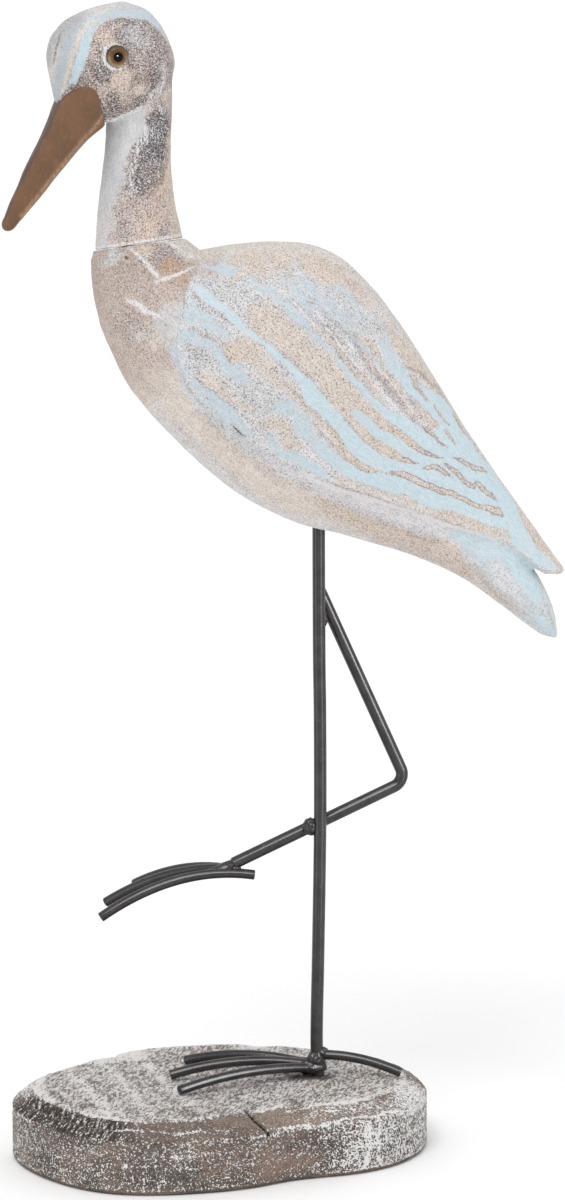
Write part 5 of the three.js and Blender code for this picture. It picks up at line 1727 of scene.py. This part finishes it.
def base_ground(places, on_top, on_bevel, patch, hatched, bare):
    """The bare wood's colours, washed on each other."""
    x = places[:, 0]
    ground = np.tile(BASE_SIDE_DARK, (len(places), 1))
    for cover, colour in (
        (smoothstep(rugged(places, (13, 13, 8), 61), 0.4, 0.66) * 0.8, BASE_SIDE_BROWN),
        (patch * 0.7, SIDE_PATCH_BROWN),
        (on_top, BASE_TOP_GREY),
        (on_top * smoothstep(rugged(places, (12, 12, 9), 64), 0.5, 0.62) * 0.7, BASE_TOP_BROWN),
        (on_bevel * 0.95, BEVEL_BROWN),
        (on_bevel * smoothstep(x, 4, 16) * (1 - smoothstep(x, 62, 74)) * 0.8, BEVEL_BARE),
        (on_bevel * hatched * 0.9, BEVEL_DARK),
        (bare * 0.6, BEVEL_BARE),
    ):
        ground += cover[:, None] * (colour - ground)
    return np.clip(ground, 0, 1)


def side_white(places, turn):
    """White on the slab's side: patches, level lines and two upright posts."""
    z = places[:, 2]
    white = 0.35 + 0.2 * rugged(places, (9, 9, 7), 66)
    for height, strength in SIDE_WHITE_LINES:
        wander = 3.2 * (grain(places, (14, 14, 60), 62) - 0.5)
        broken = smoothstep(grain(places, (9, 9, 60), 63 + int(height)), 0.3, 0.6)
        white += strength * broken * np.exp(-((z - height - wander) / 0.8) ** 2)
    posts = SIDE_POSTS(turn * SIDE_DEGREE + ragged(places, 2.5, 1.6, 67), z)
    white += 0.34 * smoothstep(posts, -0.8, 0.5)
    white += 0.22 * smoothstep(turn, -62, -42) + 0.16 * (1 - smoothstep(z, 0.8, 4))
    return white + 0.12 * smoothstep(np.abs(turn), 150, 172)


def base_white(places, angle, on_top, on_bevel, on_side, patch, hatched, bare):
    """How much white there is, from none at 0 to solid at 1."""
    x, y, z = places.T
    patchy = rugged(places, (9, 9, 7), 66)
    white = on_side * side_white(places, np.degrees(angle)) - 0.12 * patch
    white += on_bevel * (0.4 + 0.2 * (patchy - 0.5) + 0.14 * smoothstep(y, -10, 20))
    white += on_bevel * 0.2 * smoothstep(x, 58, 74) * smoothstep(-y, 0, 10)
    white -= on_bevel * (0.1 * hatched + 0.06 * smoothstep(-y, 10, 30) * (1 - smoothstep(x, 20, 50)))
    white += on_top * (0.57 + 0.2 * patchy)
    white += on_top * 0.16 * smoothstep(PALE_STREAKS(x, y) + ragged(places, 4, 1.6, 70), -3, 2)
    lines = smoothstep(BEVEL_WHITE_LINES(x + ragged(places, 3, 1.0, 71), y), -0.8, 0.4)
    white += (z > LAP_HEIGHT) * 0.5 * lines * smoothstep(rugged(places, 5, 72), 0.36, 0.5)
    white -= bare * 0.2
    inward = base_radius(angle) - np.hypot(x, y)
    rim = np.exp(-((inward - bevel_width(angle) - 0.5) / 1.2) ** 2)
    white += (z > BASE_EDGE_HEIGHT + 2) * 0.2 * rim * smoothstep(rugged(places, 8, 69), 0.4, 0.55)
    white += 0.26 * smoothstep(WHITE_PLACES(x, y), -3, 3) * (z > LAP_HEIGHT - 2)
    return np.clip(white, 0, 1)


def base_paint(mesh, places, on_top, on_bevel, on_side):
    x, y, z = places.T
    angle = np.arctan2(y, x)
    patch = on_side * smoothstep(SIDE_PATCH(np.degrees(angle), z), -3, 3)
    hatched = smoothstep(-x, 38, 54) * smoothstep(-y, 2, 16)
    bare = smoothstep(BARE_PLACES(x, y), -1.5, 2.5) * (z > LAP_HEIGHT)
    keep_colour(mesh, "ground", base_ground(places, on_top, on_bevel, patch, hatched, bare))
    keep_field(mesh, "white", base_white(places, angle, on_top, on_bevel, on_side, patch, hatched, bare))
    keep_field(mesh, "top", on_top)
    keep_field(mesh, "hatch", hatched * on_bevel)
    keep_field(mesh, "soot", smoothstep(SOOT_PLACES(x, y), -2.5, 2) * (z > BASE_EDGE_HEIGHT))
    keep_field(mesh, "ink", np.where(z > BASE_EDGE_HEIGHT - 3, BASE_SPLIT(x, y), -9.0))
    # The grain runs slantwise over the top, and round the side and the bevel
    inward = base_radius(angle) - np.hypot(x, y)
    on_flat = z > BASE_EDGE_HEIGHT + 3
    along = np.where(on_flat, x - 0.35 * y, angle * SIDE_RADIUS)
    keep_vectors(mesh, "grain_run", (along, np.where(on_flat, y, inward), z))


def weathered_base():
    """Grey-brown wood with dry-brushed and flaking white."""
    s = Shade("weathered_base")
    run = s.vector_field("grain_run")
    fine = s.grain(0.62, 1, detail=1)
    fine_two = s.grain(0.62, 6, detail=1)
    flake = s.grain(1.4, 2, detail=3, roughness=0.6)
    flake_top = s.grain(1.0, 3, detail=3, stretch=(1.0, 0.3, 0.3), roughness=0.65, place=run)
    cloud = s.grain(9, 4, detail=3)
    hatch = s.grain(1.3, 5, detail=1, stretch=(1.0, 0.2, 0.2), place=run)
    tone = s.times(s.sway(cloud, 0.86, 1.12), s.ramp(fine_two, 0.2, 0.8, 0.3, 1.7))
    ground = s.darker(s.colour_field("ground"), tone)
    stripes = s.times(s.field("hatch"), s.span(hatch, 0.5, 0.42))
    colour = s.mix(s.times(stripes, 0.85), ground, seen(46, 40, 38))
    side = s.blend(0.45, flake, fine)
    top = s.blend(0.6, flake_top, fine)
    flakes = s.mix_values(s.field("top"), side, top)
    level = s.share(s.field("white"), 0.7, 0.4)
    raised = s.minus(flakes, level)
    raised = s.plus(raised, s.times(s.field("hatch"), s.span(hatch, 0.5, 0.62, 0.0, 0.12)))
    gaps = s.times(s.field("top"), s.span(raised, -0.03, -0.09, 0.0, 0.85))
    colour = s.mix(gaps, colour, s.darker(ground, 0.45))
    # Each flake casts a thin dark edge
    rims = s.times(s.span(raised, -0.1, -0.05), s.span(raised, 0.0, -0.02))
    colour = s.mix(s.times(rims, 0.55), colour, s.darker(ground, 0.4))
    white = s.span(raised, -0.006, 0.014)
    shade = s.mix(s.field("top"), seen(230, 229, 228), seen(220, 217, 215))
    colour = s.mix(s.times(white, 0.95), colour, shade)
    soot = s.plus(s.field("soot"), s.sway(fine, -0.5, 0.5))
    colour = s.mix(s.span(soot, 0.5, 0.75, 0.0, 0.85), colour, seen(52, 50, 49))
    cracks = s.span(s.field("ink"), -0.45, 0.0)
    colour = s.mix(s.times(cracks, 0.95), colour, seen(26, 21, 19))
    height = s.plus(s.times(fine, 0.4), s.times(flakes, 0.8))
    height = s.plus(height, s.times(white, 0.4))
    normal = s.bump(height, 0.35, 0.9)
    return s.done(colour, 0.88, normal, Specular_IOR_Level=0.2)


# Stage, light and camera
CAMERA_PLACE = Vector((-291.9, -2272.0, 646.3)) * MM
CAMERA_TARGET = Vector((28.17, 5.65, 240.65)) * MM
CAMERA_LENS = 162.94
CAMERA_SENSOR = 36.0
CAMERA_DEPTHS = (0.1, 50.0)
SKY_STRENGTH = 0.84
SUN_STRENGTH = 1.0
SUN_WIDTH = math.radians(28)
SUN_FROM = (-0.35, -0.75, 1.25)
# Strip lights that only the steel sees: turn, height, distance, width, length and brightness
STRIPS = {
    "strip_left": (-64, -12, 0.45, 0.2, 0.44, 1.5),
    "strip_middle": (42, -12, 0.45, 0.2, 0.44, 2.0),
    "strip_right": (44, 20, 1.8, 0.7, 1.6, 13.0),
    "strip_top": (-5, 30, 1.8, 1.6, 0.6, 11.0),
}
# A small lamp that only the glass eyes see
SPARK = (12, 9, 1.5, 0.11, 0.11, 240.0)
LIGHT_AIM = Vector((0.0, 0.0, 0.3))
FLOOR_SIZE = 40.0


def make_floor():
    mesh = bpy.data.meshes.new("floor")
    half = FLOOR_SIZE / 2
    corners = [(-half, -half, 0), (half, -half, 0), (half, half, 0), (-half, half, 0)]
    mesh.from_pydata(corners, [], [(0, 1, 2, 3)])
    floor = object_of("floor", mesh)
    s = Shade("pale_floor")
    tone = s.span(s.grain(180, 1, detail=2), 0.3, 0.7, 0.985, 1.0)
    mesh.materials.append(s.done(s.darker((0.97, 0.97, 0.97), tone), 0.9, Specular_IOR_Level=0.1))


def make_world():
    world = bpy.data.worlds.new("studio")
    bpy.context.scene.world = world
    world.use_nodes = True
    sky = world.node_tree.nodes["Background"]
    sky.inputs["Color"].default_value = (1.0, 1.0, 1.0, 1.0)
    sky.inputs["Strength"].default_value = SKY_STRENGTH


def make_strip(name, turn, rise, distance, width, height, brightness):
    box = bpy.data.lights.new(name, "AREA")
    box.shape = "RECTANGLE"
    box.size = width
    box.size_y = height
    box.energy = brightness * math.pi * width * height
    turn, rise = math.radians(turn), math.radians(rise)
    away = Vector((math.sin(turn) * math.cos(rise), -math.cos(turn) * math.cos(rise), math.sin(rise)))
    lamp = bpy.data.objects.new(name, box)
    lamp.location = LIGHT_AIM + away * distance
    lamp.rotation_euler = away.to_track_quat("Z", "Y").to_euler()
    lamp.visible_camera = False
    bpy.context.scene.collection.objects.link(lamp)
    return lamp


def make_sun():
    """A wide sun-like light from above, for the soft shadow."""
    sun = bpy.data.lights.new("overhead", "SUN")
    sun.angle = SUN_WIDTH
    sun.energy = SUN_STRENGTH
    lamp = bpy.data.objects.new("overhead", sun)
    lamp.rotation_euler = Vector(SUN_FROM).to_track_quat("Z", "Y").to_euler()
    bpy.context.scene.collection.objects.link(lamp)


def make_glints(name, settings, pieces):
    """A lamp whose light reaches only the given pieces, for the highlights on their gloss."""
    lamp = make_strip(name, *settings)
    only = bpy.data.collections.new(name)
    for piece in pieces:
        only.objects.link(piece)
    lamp.light_linking.receiver_collection = only


def make_camera():
    camera = bpy.data.cameras.new("photo_camera")
    camera.lens = CAMERA_LENS
    camera.sensor_fit = "VERTICAL"
    camera.sensor_height = CAMERA_SENSOR
    camera.clip_start, camera.clip_end = CAMERA_DEPTHS
    holder = bpy.data.objects.new("photo_camera", camera)
    holder.location = CAMERA_PLACE
    holder.rotation_euler = (CAMERA_TARGET - CAMERA_PLACE).to_track_quat("-Z", "Y").to_euler()
    bpy.context.scene.collection.objects.link(holder)
    bpy.context.scene.camera = holder


make_camera()
make_world()
make_floor()
make_sun()
bpy.context.scene.view_settings.view_transform = "Standard"

wood = painted_wood()
steel = black_steel()
eye_material = glass_eye()

finished("body_carved", make_body(), in_bird_place, wood, ["body"])
finished("neck_and_head_carved", make_neck_and_head(), in_head_place, wood, ["neck_and_head"])
finished("bill_stained", make_bill(), in_head_place, stained_bill(), ["bill"])
eyes = [finished(f"{name}_glass", make_eye(side), in_head_place, eye_material, [name])
        for name, side in (("eye_left", -1), ("eye_right", 1))]
rods = {"standing_leg": make_standing_leg(), "raised_leg": make_raised_leg()}
rods |= {name: make_toe(name, *run) for name, run in TOES.items()}
steels = [finished(f"{name}_steel", rod, in_bird_place, steel, [name])
          for name, rod in rods.items()]
finished("base_weathered", make_base(), lambda points: points, weathered_base(), ["base"])

make_glints("spark", SPARK, eyes)
for strip_name, strip in STRIPS.items():
    make_glints(strip_name, strip, steels)
